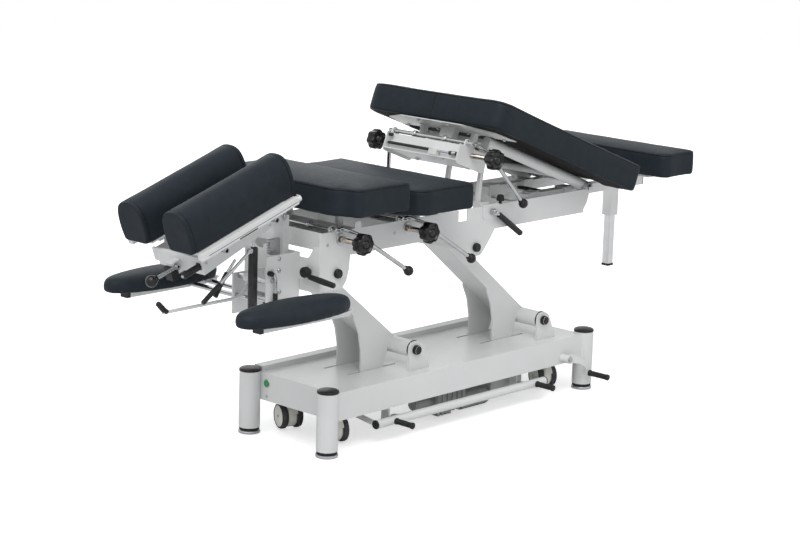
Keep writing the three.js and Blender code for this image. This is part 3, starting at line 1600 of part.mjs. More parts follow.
function headUnit() {
  const unit = new THREE.Group();
  const carried = groupAt(-headHingeA, 0, -headHingeB, headTray(), ballLever(), releaseLever());
  for (const [suffix, side] of [["near", -1], ["far", 1]]) {
    carried.add(headRail("head_rail_" + suffix, side), faceCushion("head_cushion_" + suffix, side));
  }
  unit.add(carried);
  unit.position.set(tiltX, 0, tiltZ);
  unit.rotation.y = headTilt * degree;
  return unit;
}

function heightLever() {
  const boss = boreOf(crossRodRadius, rodSides);
  const bend = [-heightLeverDropX, 0, -heightLeverDropZ];
  const end = [-heightLeverDropX - heightLeverLength, 0, -heightLeverDropZ];
  const grip = [end[0] - heightGripLength, 0, -heightLeverDropZ - heightGripRadius];
  const gripMiddle = [(end[0] + grip[0]) / 2, 0, -heightLeverDropZ + heightGripRadius / 2];
  const pieces = [
    barY(0, 0, -releaseRadius * 2, releaseRadius * 2, boss + springPinRadius),
    sweep([[0, 0, -boss], [bend[0] / 2, 0, bend[2] * heightLeverBendShare], bend, end], releaseRadius),
    sweep([end, gripMiddle, grip], heightGripRadius, gripSteps),
  ];
  const bore = barY(0, 0, -releaseRadius * 2 - overrun, releaseRadius * 2 + overrun, boss, rodSides);
  const lever = part("head_height_lever", cut(join(pieces), [bore]), chrome());
  return groupAt(upperRodX, heightLeverY, upperRodZ, lever);
}

function lockLever() {
  const x = -lockStemLength + lockRadius;
  const pieces = [
    barX(0, 0, -lockStemLength, -gap, lockRadius * 2),
    barY(x, 0, -lockStemLength, 0, lockRadius),
    barY(x, 0, -lockStemLength - lockGripLength, -lockStemLength + overrun, lockGripRadius),
  ];
  return groupAt(-frameHead, lockY, lockZ, part("head_lock_lever", join(pieces), blackPlastic()));
}

// Armrests
function armrest(suffix, side) {
  const y0 = side * armrestY - armrestRailWidth / 2;
  const y1 = y0 + armrestRailWidth;
  const railTopZ = crossRodZ + armrestRailHeight / 2;
  const boardHalf = armrestBoardWidth / 2;
  const boardTop = armrestPadBottom - gap;
  const pieces = [
    span(armrestHeadX, armrestFootX, y0, y1, crossRodZ - armrestRailHeight / 2, railTopZ),
    span(armrestBoardHeadX, armrestBoardFootX, side * armrestY - boardHalf, side * armrestY + boardHalf,
      railTopZ - gap, boardTop),
  ];
  const holes = crossRodXs.map((x) => barY(x, crossRodZ, y0 - overrun, y1 + overrun,
    boreOf(crossRodRadius, rodSides), rodSides));
  const half = armrestPadWidth / 2;
  const corners = [
    [armrestPadFootX, side * armrestY - half, half / 2],
    [armrestPadFootX, side * armrestY + half, half / 2],
    [armrestPadHeadX, side * armrestY + half, half / 2],
    [armrestPadHeadX, side * armrestY - half, half / 2],
  ];
  const pad = cushion(corners, armrestPadBottom, armrestPadHeight, armrestPadCrown, armrestPadHeight / 3);
  return [
    part("armrest_" + suffix, cut(join(pieces), holes), powderCoat()),
    part("armrest_pad_" + suffix, pad, vinyl()),
  ];
}

// Assembly
function base() {
  const group = new THREE.Group();
  group.add(baseFrame(), baseCover(), liftActuator(), controlBox(), footBar(), castorPedal());
  for (const [end, sideX] of [["head", -1], ["foot", 1]]) {
    for (const [flank, sideY] of [["near", -1], ["far", 1]]) {
      const suffix = end + "_" + flank;
      group.add(groupAt(sideX * columnX, sideY * columnY, 0, levellingFoot("levelling_foot_" + suffix)));
      const swivel = groupAt((sideX * castorSpacingX) / 2, (sideY * castorSpacingY) / 2, 0, ...castor(suffix));
      swivel.rotation.z = castorHeading * degree;
      group.add(swivel);
    }
  }
  return group;
}

function deck() {
  const group = groupAt(footPivotX - armReach, 0, pivotHeight + armRise);
  group.add(
    topFrame(),
    dropSection(thoracic, hexPlate(thoracic)),
    dropSection(lumbar, hexPlate(lumbar)),
    pelvicSection(),
    strutClamp(),
    strutClampHandle(),
    buffer("buffer_near", -1),
    buffer("buffer_far", 1),
    footRails(),
    footCushion(),
    supportLeg(),
    headGuide(),
    headPost(),
    headUnit(),
    gasSpring(),
    heightLever(),
    lockLever(),
    ...armrest("near", -1),
    ...armrest("far", 1),
  );
  return group;
}

const assembly = new THREE.Group();
assembly.add(
  base(),
  groupAt(headPivotX, 0, pivotHeight, liftArm("lift_arm_head", gap)),
  groupAt(footPivotX, 0, pivotHeight, liftArm("lift_arm_foot", openPivotGap)),
  deck(),
);

// The origin stands on the floor below the middle of the whole table.
assembly.updateMatrixWorld(true);
const bounds = new THREE.Box3().setFromObject(assembly, true);
const centre = bounds.getCenter(new THREE.Vector3());
assembly.position.set(-centre.x, -centre.y, -bounds.min.z);

const table = new THREE.Group();
table.add(assembly);
export default table;
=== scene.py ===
"""Dresses the chiropractic table: upholstery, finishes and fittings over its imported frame.

Lengths in this file are millimetres, measured in the frame of the piece they belong to.
"""

import math
from collections import namedtuple

import bmesh
import bpy
from bpy.props import FloatProperty, FloatVectorProperty, IntProperty, PointerProperty
from mathutils import Matrix, Vector, noise


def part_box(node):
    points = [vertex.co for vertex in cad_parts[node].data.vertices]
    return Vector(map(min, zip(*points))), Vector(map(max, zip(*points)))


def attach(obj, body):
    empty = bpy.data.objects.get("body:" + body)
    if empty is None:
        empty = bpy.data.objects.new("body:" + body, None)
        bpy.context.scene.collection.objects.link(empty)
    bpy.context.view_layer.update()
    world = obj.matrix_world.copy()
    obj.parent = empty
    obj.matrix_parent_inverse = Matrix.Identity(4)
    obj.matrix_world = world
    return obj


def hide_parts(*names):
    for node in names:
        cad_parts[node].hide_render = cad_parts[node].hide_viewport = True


bl_info = {
    "name": "Chiropractic table dressing",
    "version": (1, 0, 0),
    "blender": (4, 5, 0),
    "location": "3D View > Sidebar > Table",
    "description": "Upholstery, finishes and fittings of a drop-section treatment table",
    "category": "Object",
}

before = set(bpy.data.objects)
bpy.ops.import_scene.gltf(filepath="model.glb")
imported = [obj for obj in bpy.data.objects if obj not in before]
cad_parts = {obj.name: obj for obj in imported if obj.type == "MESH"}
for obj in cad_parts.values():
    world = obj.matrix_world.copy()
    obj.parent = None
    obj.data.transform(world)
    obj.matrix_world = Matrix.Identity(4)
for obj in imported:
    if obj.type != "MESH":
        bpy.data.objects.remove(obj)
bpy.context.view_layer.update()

NEAR, FAR = -1, 1
SIDES = (("near", NEAR), ("far", FAR))
ENDS = (("head", -1), ("foot", 1))
CORNERS = tuple((end_name + "_" + side_name, end, side) for end_name, end in ENDS for side_name, side in SIDES)


# Frames of the table, each in millimetres


def within(parent, x, y, z, turn=0.0, axis="Y"):
    """A frame placed in another one, turned by some degrees."""
    return parent @ Matrix.Translation((x, y, z)) @ Matrix.Rotation(math.radians(turn), 4, axis)


def base_place():
    """The frame on the floor below the middle of the base's cover."""
    low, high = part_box("base_cover")
    return Matrix.Translation(((low.x + high.x) / 2, 0, 0)) @ Matrix.Diagonal((0.001, 0.001, 0.001, 1))


# Columns and lift pivots, in the frame of the base
COLUMN_X, COLUMN_Y = 555.25, 158
LOWER_PIVOTS = {"head": -186, "foot": 380}
UPPER_PIVOTS = {"head": -524, "foot": 42}
LOWER_PIVOT_Z, UPPER_PIVOT_Z = 239, 511

# Knob shafts, pelvic hinge and head pivot, in the frame of the deck
SHAFT_XS, SHAFT_Z = {"thoracic": -554, "lumbar": -292}, 93
PELVIC_HINGE = (515, 0, 119)
HEAD_PIVOT = (-682, 0, 157)
PELVIC_TILT, HEAD_TILT = 21.1, -18.6

BASE = base_place()
DECK = within(BASE, UPPER_PIVOTS["foot"], 0, UPPER_PIVOT_Z)
THORACIC = within(DECK, SHAFT_XS["thoracic"], 0, SHAFT_Z)
LUMBAR = within(DECK, SHAFT_XS["lumbar"], 0, SHAFT_Z)
PELVIS = within(DECK, *PELVIC_HINGE, PELVIC_TILT)
PELVIC = within(PELVIS, -561, 0, -54)
HEAD = within(within(DECK, *HEAD_PIVOT, HEAD_TILT), -384, 0, 81)


# Settings that a user would change


class TableFinishes(bpy.types.PropertyGroup):
    """Colours of the table"""

    frame_white: FloatVectorProperty(
        name="Powder coat", description="Colour of the painted steel", subtype="COLOR", size=3,
        default=(0.735, 0.745, 0.74), min=0, max=1)
    vinyl: FloatVectorProperty(
        name="Vinyl", description="Colour of the upholstery", subtype="COLOR", size=3,
        default=(0.0175, 0.0235, 0.0295), min=0, max=1)
    plastic: FloatVectorProperty(
        name="Black plastic", description="Colour of knobs, grips and caps", subtype="COLOR", size=3,
        default=(0.011, 0.011, 0.012), min=0, max=1)
    castor: FloatVectorProperty(
        name="Castor nylon", description="Colour of the castor forks and discs", subtype="COLOR", size=3,
        default=(0.95, 0.94, 0.86), min=0, max=1)
    housing: FloatVectorProperty(
        name="Motor housing", description="Colour of the lift motor", subtype="COLOR", size=3,
        default=(0.33, 0.35, 0.34), min=0, max=1)
    button: FloatVectorProperty(
        name="Button", description="Colour of the push button in the base cover", subtype="COLOR", size=3,
        default=(0.02, 0.30, 0.07), min=0, max=1)


class TableSizes(bpy.types.PropertyGroup):
    """Sizes of the table's soft and moulded pieces"""

    pad_spacing: FloatProperty(
        name="Pad mesh", description="Spacing of the upholstery mesh in millimetres", default=9.0, min=5, max=20)
    seam_crease: FloatProperty(
        name="Seam crease", description="How deep the seam draws in, in millimetres", default=2.4, min=0, max=5)
    stitch_pitch: FloatProperty(
        name="Stitch pitch", description="Distance from stitch to stitch in millimetres", default=6.0, min=3, max=20)
    filling_rise: FloatProperty(
        name="Filling rise", description="Most that a cushion swells upwards, in millimetres",
        default=5.0, min=0, max=16)
    filling_spread: FloatProperty(
        name="Filling spread", description="Most that a cushion swells sideways, in millimetres",
        default=2.2, min=0, max=8)
    knob_lobes: IntProperty(
        name="Knob lobes", description="Lobes round each tension knob", default=7, min=3, max=12)
    edge_round: FloatProperty(
        name="Sheet edges", description="Rounding of the painted sheet edges in millimetres",
        default=0.8, min=0, max=3)


# Finishes


class Finish:
    """One procedural material, mapped by the piece's own coordinates in metres."""

    def __init__(self, name, colour, metallic=0.0):
        self.material = bpy.data.materials.new(name)
        self.material.use_nodes = True
        self.tree = self.material.node_tree
        self.shader = self.tree.nodes["Principled BSDF"]
        self.shader.inputs["Metallic"].default_value = metallic
        self.shader.inputs["Base Color"].default_value = (*colour, 1)
        self.colour = Vector(colour)
        self.place = self.tree.nodes.new("ShaderNodeTexCoord").outputs["Object"]

    def stretched(self, x, y, z):
        mapping = self.tree.nodes.new("ShaderNodeMapping")
        mapping.inputs["Scale"].default_value = (x, y, z)
        self.tree.links.new(self.place, mapping.inputs["Vector"])
        return mapping.outputs["Vector"]

    def cloudy(self, scale, detail=3.0, vector=None):
        texture = self.tree.nodes.new("ShaderNodeTexNoise")
        texture.inputs["Scale"].default_value = scale
        texture.inputs["Detail"].default_value = detail
        self.tree.links.new(vector or self.place, texture.inputs["Vector"])
        return texture.outputs["Fac"]

    def cells(self, scale, feature="SMOOTH_F1"):
        texture = self.tree.nodes.new("ShaderNodeTexVoronoi")
        texture.feature = feature
        texture.inputs["Scale"].default_value = scale
        self.tree.links.new(self.place, texture.inputs["Vector"])
        return texture.outputs["Distance"]

    def weave(self, scale):
        """Crossed threads, as two waves multiplied."""
        waves = []
        for direction in ("X", "Y"):
            wave = self.tree.nodes.new("ShaderNodeTexWave")
            wave.bands_direction = direction
            wave.inputs["Scale"].default_value = scale
            self.tree.links.new(self.place, wave.inputs["Vector"])
            waves.append(wave.outputs["Fac"])
        return self.maths("MULTIPLY", *waves)

    def maths(self, operation, first, second):
        node = self.tree.nodes.new("ShaderNodeMath")
        node.operation = operation
        for socket, value in zip(node.inputs, (first, second)):
            if isinstance(value, (int, float)):
                socket.default_value = value
            else:
                self.tree.links.new(value, socket)
        return node.outputs["Value"]

    def ranged(self, value, low, high, start=0.3, stop=0.7):
        node = self.tree.nodes.new("ShaderNodeMapRange")
        for name, number in (("From Min", start), ("From Max", stop), ("To Min", low), ("To Max", high)):
            node.inputs[name].default_value = number
        self.tree.links.new(value, node.inputs["Value"])
        return node.outputs["Result"]

    def tinted(self, value, dark, light):
        """Varies the colour between two shares of itself."""
        ramp = self.tree.nodes.new("ShaderNodeValToRGB")
        for element, place, share in zip(ramp.color_ramp.elements, (0.3, 0.7), (dark, light)):
            element.position = place
            element.color = (*(min(1.0, c * share) for c in self.colour), 1)
        self.tree.links.new(value, ramp.inputs["Fac"])
        self.tree.links.new(ramp.outputs["Color"], self.shader.inputs["Base Color"])
        return self

    def rough(self, value, low, high):
        self.tree.links.new(self.ranged(value, low, high), self.shader.inputs["Roughness"])
        return self

    def bumped(self, height, depth, strength=0.5):
        node = self.tree.nodes.new("ShaderNodeBump")
        node.inputs["Distance"].default_value = depth / 1000
        node.inputs["Strength"].default_value = strength
        self.tree.links.new(height, node.inputs["Height"])
        self.tree.links.new(node.outputs["Normal"], self.shader.inputs["Normal"])
        return self

    def set(self, **sockets):
        for name, value in sockets.items():
            self.shader.inputs[name.replace("_", " ")].default_value = value
        return self


def powder_coat(look):
    made = Finish("powder_coat", look.frame_white)
    made.tinted(made.cloudy(9), 0.97, 1.0).rough(made.cloudy(60), 0.30, 0.42)
    return made.bumped(made.cloudy(520, 1), 0.25, 0.18).set(Specular_IOR_Level=0.45)


def chrome(look):
    made = Finish("chrome", (0.50, 0.51, 0.52), 1.0)
    made.tinted(made.cloudy(30), 0.90, 1.05).rough(made.cloudy(140), 0.10, 0.20)
    return made.bumped(made.cloudy(700, 1, made.stretched(1, 0.08, 1)), 0.03, 0.3)


def warm_chrome(look):
    made = Finish("warm_chrome", (0.50, 0.45, 0.39), 1.0)
    made.tinted(made.cloudy(40), 0.85, 1.05).rough(made.cloudy(160), 0.12, 0.26)
    return made.bumped(made.cloudy(600, 1), 0.03, 0.3)


def zinc(look):
    made = Finish("zinc", (0.50, 0.51, 0.52), 1.0)
    made.tinted(made.cells(160, "F1"), 0.92, 1.04).rough(made.cloudy(90), 0.28, 0.42)
    return made.bumped(made.cloudy(500, 2, made.stretched(0.1, 1, 1)), 0.05, 0.35)


def vinyl(look):
    made = Finish("vinyl", look.vinyl)
    made.tinted(made.cloudy(40, 5), 0.90, 1.10).rough(made.cloudy(160, 4), 0.46, 0.54)
    grain = made.maths("ADD", made.cells(620), made.maths("MULTIPLY", made.cloudy(260, 3), 0.5))
    return made.bumped(grain, 0.30, 0.25).set(Specular_IOR_Level=0.1)


# Welt finish: the vinyl darkened to 0.15 of its colour, near black, as painted shade of the seam's crease on the seam
# cords and face piping.
def welt_seam_shade(look):
    made = Finish("welt_seam_shade", Vector(look.vinyl) * 0.15)
    made.tinted(made.cloudy(60, 3), 0.85, 1.15).rough(made.cloudy(90, 4), 0.36, 0.5)
    return made.bumped(made.cells(900), 0.2, 0.3).set(Specular_IOR_Level=0.2)


def thread(look):
    made = Finish("thread", Vector(look.vinyl) * 1.3)
    made.tinted(made.cloudy(300), 0.8, 1.2).rough(made.cloudy(300), 0.5, 0.7)
    return made.bumped(made.cloudy(1500, 1, made.stretched(1, 1, 3)), 0.15, 0.6)


def underside_cloth(look):
    made = Finish("underside_cloth", (0.008, 0.008, 0.009))
    made.tinted(made.cloudy(80), 0.8, 1.3).rough(made.cloudy(80), 0.80, 0.95)
    return made.bumped(made.weave(160), 0.3, 0.5).set(Specular_IOR_Level=0.2)


def moulded_plastic(look):
    made = Finish("moulded_plastic", look.plastic)
    made.tinted(made.cloudy(25), 0.9, 1.25).rough(made.cloudy(110), 0.32, 0.46)
    return made.bumped(made.cloudy(900, 1), 0.08, 0.35).set(Specular_IOR_Level=0.3)


def gloss_plastic(look):
    made = Finish("gloss_plastic", look.plastic)
    made.tinted(made.cloudy(30), 0.9, 1.2).rough(made.cloudy(90), 0.10, 0.20)
    return made.bumped(made.cloudy(120, 1), 0.05, 0.2).set(Specular_IOR_Level=0.32)


def grip_rubber(look):
    made = Finish("grip_rubber", Vector(look.plastic) * 1.3)
    made.tinted(made.cloudy(60), 0.85, 1.2).rough(made.cloudy(90), 0.55, 0.75)
    return made.bumped(made.cells(800), 0.15, 0.4).set(Specular_IOR_Level=0.35)


def tread_rubber(look):
    made = Finish("tread_rubber", (0.045, 0.045, 0.047))
    made.tinted(made.cloudy(70), 0.8, 1.3).rough(made.cloudy(90), 0.6, 0.8)
    return made.bumped(made.cloudy(400, 2), 0.15, 0.4)


def satin_steel(look):
    made = Finish("satin_steel", (0.66, 0.67, 0.675), 1.0)
    made.tinted(made.cloudy(20), 0.95, 1.03).rough(made.cloudy(300, 2, made.stretched(1, 1, 0.05)), 0.24, 0.36)
    return made.bumped(made.cloudy(900, 2, made.stretched(1, 1, 0.04)), 0.04, 0.3)


def light_housing(look):
    made = Finish("light_housing", (0.52, 0.53, 0.52))
    made.tinted(made.cloudy(40), 0.94, 1.04).rough(made.cloudy(100), 0.40, 0.52)
    return made.bumped(made.cloudy(800, 1), 0.10, 0.3)


def castor_nylon(look):
    made = Finish("castor_nylon", look.castor)
    made.tinted(made.cloudy(40), 0.92, 1.03).rough(made.cloudy(120), 0.36, 0.5)
    return made.bumped(made.cloudy(700, 1), 0.08, 0.3)


def white_nylon(look):
    made = Finish("white_nylon", (0.66, 0.66, 0.64))
    made.tinted(made.cloudy(60), 0.93, 1.02).rough(made.cloudy(120), 0.38, 0.5)
    return made.bumped(made.cloudy(700, 1), 0.08, 0.3)


def grey_housing(look):
    made = Finish("grey_housing", look.housing)
    made.tinted(made.cloudy(40), 0.88, 1.08).rough(made.cloudy(90), 0.40, 0.56)
    return made.bumped(made.cloudy(800, 2), 0.15, 0.4)


def button_plastic(look):
    made = Finish("button_plastic", look.button)
    made.tinted(made.cloudy(60), 0.9, 1.1).rough(made.cloudy(120), 0.2, 0.3)
    return made.bumped(made.cloudy(500, 1), 0.04, 0.3)


def black_steel(look):
    made = Finish("black_steel", (0.030, 0.030, 0.032), 0.6)
    made.tinted(made.cloudy(60), 0.8, 1.4).rough(made.cloudy(120), 0.30, 0.48)
    return made.bumped(made.cloudy(600, 2), 0.06, 0.3)


_made_finishes = {}


def finish(maker):
    """The material that a maker gives, made once."""
    if maker.__name__ not in _made_finishes:
        _made_finishes[maker.__name__] = maker(bpy.context.scene.table_finishes).material
    return _made_finishes[maker.__name__]


# Mesh making


def outward(side):
    """The direction across the table, away from its middle."""
    return "Y" if side > 0 else "-Y"


AXES = {
    "X": (Vector((0, 1, 0)), Vector((0, 0, 1)), Vector((1, 0, 0))),
    "Y": (Vector((0, 0, 1)), Vector((1, 0, 0)), Vector((0, 1, 0))),
    "Z": (Vector((1, 0, 0)), Vector((0, 1, 0)), Vector((0, 0, 1))),
}


def axes_along(direction):
    """Two directions across, and the one along, an axis name or a vector."""
    if isinstance(direction, str):
        sign = -1 if direction[0] == "-" else 1
        across, up, along = AXES[direction[-1]]
        return across, up * sign, along * sign
    along = Vector(direction).normalized()
    across = along.orthogonal().normalized()
    return across, along.cross(across), along


def smooth_path(points, steps=8):
    """A smooth curve through points."""
    points = [Vector(p) for p in points]
    if len(points) < 3:
        return points
    run = [points[0] * 2 - points[1], *points, points[-1] * 2 - points[-2]]
    path = []
    for p0, p1, p2, p3 in zip(run, run[1:], run[2:], run[3:]):
        for step in range(steps):
            t = step / steps
            path.append(0.5 * (2 * p1 + (p2 - p0) * t + (2 * p0 - 5 * p1 + 4 * p2 - p3) * t * t
                               + (3 * p1 - p0 - 3 * p2 + p3) * t ** 3))
    return path + [points[-1]]


def eased_corner(before, here, after, steps):
    """A curve from one point to another that bends at the corner between them."""
    shares = (step / steps for step in range(steps + 1))
    return [before * (1 - t) ** 2 + here * (2 * t * (1 - t)) + after * t * t for t in shares]


def rounded(corners, steps=6):
    """A polygon whose corners, given as x, y and a radius, are rounded."""
    outline = []
    for i, corner in enumerate(corners):
        here = Vector(corner[:2])
        radius = corner[2] if len(corner) > 2 else 0
        if not radius:
            outline.append(here)
            continue
        before = (Vector(corners[i - 1][:2]) - here).normalized() * radius + here
        after = (Vector(corners[(i + 1) % len(corners)][:2]) - here).normalized() * radius + here
        outline += eased_corner(before, here, after, steps)
    return outline


class Builder:
    """Collects the faces of one piece, measured in a frame of the table."""

    def __init__(self, place):
        self.mesh = bmesh.new()
        self.place = place
        self.finish = 0

    def point(self, where):
        return self.mesh.verts.new(self.place @ Vector(where))

    def face(self, corners):
        corners = list(dict.fromkeys(corners))
        if len(corners) > 2:
            made = self.mesh.faces.new(corners)
            made.material_index = self.finish
            made.smooth = True

    def skin(self, rows):
        """Faces between rows of points, where a row of one point is a pole."""
        for low, high in zip(rows, rows[1:]):
            count = max(len(low), len(high))
            for i in range(count):
                j = (i + 1) % count
                self.face([low[i % len(low)], low[j % len(low)], high[j % len(high)], high[i % len(high)]])

    def loft(self, rings):
        """A skin over rings of points, closed at both ends."""
        rows = [[self.point(p) for p in ring] for ring in rings]
        self.skin(rows)
        self.face(reversed(rows[0]))
        self.face(rows[-1])

    def lathe(self, centre, direction, profile, sides=32, start=0.0):
        """Turns a profile of radius and height about an axis."""
        across, up, along = axes_along(direction)
        centre = Vector(centre)
        rows = []
        for radius, height in profile:
            middle = centre + along * height
            if radius < 1e-4:
                rows.append([self.point(middle)])
                continue
            rows.append([
                self.point(middle + (across * math.cos(a) + up * math.sin(a)) * radius)
                for a in (start + 2 * math.pi * i / sides for i in range(sides))
            ])
        for row, inner in ((rows[0], True), (rows[-1], False)):
            if len(row) > 1:
                self.face(reversed(row) if inner else row)
        self.skin(rows)

    def bar(self, centre, direction, start, end, radius, sides=32, edge=0.6):
        """A round bar with eased ends."""
        low, high = min(start, end), max(start, end)
        edge = min(edge, radius / 2, (high - low) / 3)
        self.lathe(centre, direction, [
            (0, low), (radius - edge, low), (radius, low + edge),
            (radius, high - edge), (radius - edge, high), (0, high)], sides)

    def tube(self, points, radius, sides=18, steps=8):
        """A bent bar through points, with eased ends; the radius may change from point to point."""
        path = smooth_path(points, steps)
        along = (path[1] - path[0]).normalized()
        across = along.orthogonal().normalized()
        rows = []
        for i, here in enumerate(path):
            ahead = path[min(i + 1, len(path) - 1)] - path[max(i - 1, 0)]
            ahead.normalize()
            across = (across - ahead * across.dot(ahead)).normalized()
            up = ahead.cross(across)
            size = radius(i / (len(path) - 1)) if callable(radius) else radius
            ring = [here + (across * math.cos(a) + up * math.sin(a)) * size
                    for a in (2 * math.pi * k / sides for k in range(sides))]
            if i in (0, len(path) - 1):
                side = -1 if i == 0 else 1
                eased = [here + (p - here) * 0.7 + ahead * side * size * 0.3 for p in ring]
                rows += [eased, ring] if i == 0 else [ring, eased]
            else:
                rows.append(ring)
        self.loft(rows)

    def ball(self, centre, radius, sides=28, rings=14):
        self.lathe(centre, "Z", [
            (radius * math.sin(math.pi * i / rings), -radius * math.cos(math.pi * i / rings))
            for i in range(rings + 1)], sides)

    def slab(self, outline, direction, start, end):
        """A flat plate: an outline swept along an axis, measured across and up from it."""
        places = {
            "X": lambda p, h: (h, p[0], p[1]),
            "Y": lambda p, h: (p[0], h, p[1]),
            "Z": lambda p, h: (p[0], p[1], h),
        }
        where = places[direction]
        self.loft([[where(p, height) for p in outline] for height in (start, end)])

    def block(self, low, high):
        outline = [(low[0], low[1]), (high[0], low[1]), (high[0], high[1]), (low[0], high[1])]
        self.slab(outline, "Z", low[2], high[2])

    def bolt(self, centre, direction, size, washer=True):
        """A hexagon head on a washer, size being half the width over its corners."""
        base = 0.0
        if washer:
            self.lathe(centre, direction, [
                (0, 0), (size * 1.45, 0), (size * 1.5, 0.3), (size * 1.5, 1.2), (size * 1.4, 1.5), (0, 1.5)], 24)
            base = 1.5
        top = base + size * 0.85
        self.lathe(centre, direction, [
            (0, base), (size, base), (size, top - size * 0.12), (size * 0.86, top), (0, top)], 6)

    def screw(self, centre, direction, size):
        """A domed screw head with a recess."""
        self.lathe(centre, direction, [
            (0, 0), (size, 0), (size, size * 0.15), (size * 0.86, size * 0.42), (size * 0.55, size * 0.58),
            (size * 0.36, size * 0.6), (size * 0.3, size * 0.2), (0, size * 0.18)], 20)

    def done(self, name, body, slot, *makers, replaces=(), edge=0.0, angle=38):
        """Turns the collected faces into a piece that rides on a body."""
        bmesh.ops.recalc_face_normals(self.mesh, faces=self.mesh.faces)
        mesh = bpy.data.meshes.new(name)
        self.mesh.to_mesh(mesh)
        self.mesh.free()
        mesh.set_sharp_from_angle(angle=math.radians(angle))
        for maker in makers:
            mesh.materials.append(finish(maker))
        piece = bpy.data.objects.new(name, mesh)
        bpy.context.scene.collection.objects.link(piece)
        if edge:
            bevel = piece.modifiers.new("Eased edges", "BEVEL")
            bevel.width = edge / 1000
            bevel.segments = 2
            bevel.limit_method = "ANGLE"
            bevel.angle_limit = math.radians(angle)
            bevel.harden_normals = True
        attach(piece, body)
        if replaces:
            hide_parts(*replaces)


# Upholstery


def dense_outline(corners, draw_in):
    """A cushion's plan, its corners rounded and its sides pulled in between them."""
    outline = []
    for i, corner in enumerate(corners):
        here = Vector(corner[:2])
        nxt = corners[(i + 1) % len(corners)]
        before = (Vector(corners[i - 1][:2]) - here).normalized() * corner[2] + here
        after = (Vector(nxt[:2]) - here).normalized() * corner[2] + here
        outline += eased_corner(before, here, after, 12)
        target = Vector(nxt[:2])
        arrive = (here - target).normalized() * nxt[2] + target
        along = arrive - after
        if along.length < 1:
            continue
        inward = Vector((-along.y, along.x)).normalized()
        pull = min(draw_in, along.length * 0.08)
        count = max(2, round(along.length / 2))
        for step in range(1, count):
            share = step / count
            outline.append(after + along * share + inward * 4 * share * (1 - share) * pull)
    return outline


def resampled(points, count):
    """An open run of points, spaced evenly, without its last one."""
    lengths = [0.0]
    for a, b in zip(points, points[1:]):
        lengths.append(lengths[-1] + (b - a).length)
    result, k = [], 0
    for i in range(count):
        goal = lengths[-1] * i / count
        while lengths[k + 1] < goal:
            k += 1
        span = lengths[k + 1] - lengths[k]
        result.append(points[k].lerp(points[k + 1], (goal - lengths[k]) / span if span else 0))
    return result


def gridded_outline(dense, spacing, closed_at_head=False):
    """The plan in four sides with equally many points on opposite ones."""
    xs, ys = [p.x for p in dense], [p.y for p in dense]
    low, high = Vector((min(xs), min(ys))), Vector((max(xs), max(ys)))
    wanted = [(high.x, low.y), (high.x, high.y), (low.x, high.y), (low.x, low.y)]
    at = [min(range(len(dense)), key=lambda k: (dense[k] - Vector(w)).length) for w in wanted]
    wide = 2 * round((high.y - low.y) / spacing / 2)
    long = round((high.x - low.x) / spacing)
    loop = []
    for side in range(4):
        start, stop = at[side], at[(side + 1) % 4]
        if stop <= start:
            stop += len(dense)
        run = [dense[k % len(dense)] for k in range(start, stop + 1)]
        loop += resampled(run, wide if side % 2 == 0 else long)
    if closed_at_head:
        middle = wide + long + wide // 2
        centre = (low.y + high.y) / 2
        for step, reach in ((0, 0), (1, 2.4), (2, 8.5), (3, 19)):
            for way in (-1, 1):
                loop[middle + way * step].y = centre - way * reach
    return loop, wide, long, (low + high) / 2, high - low


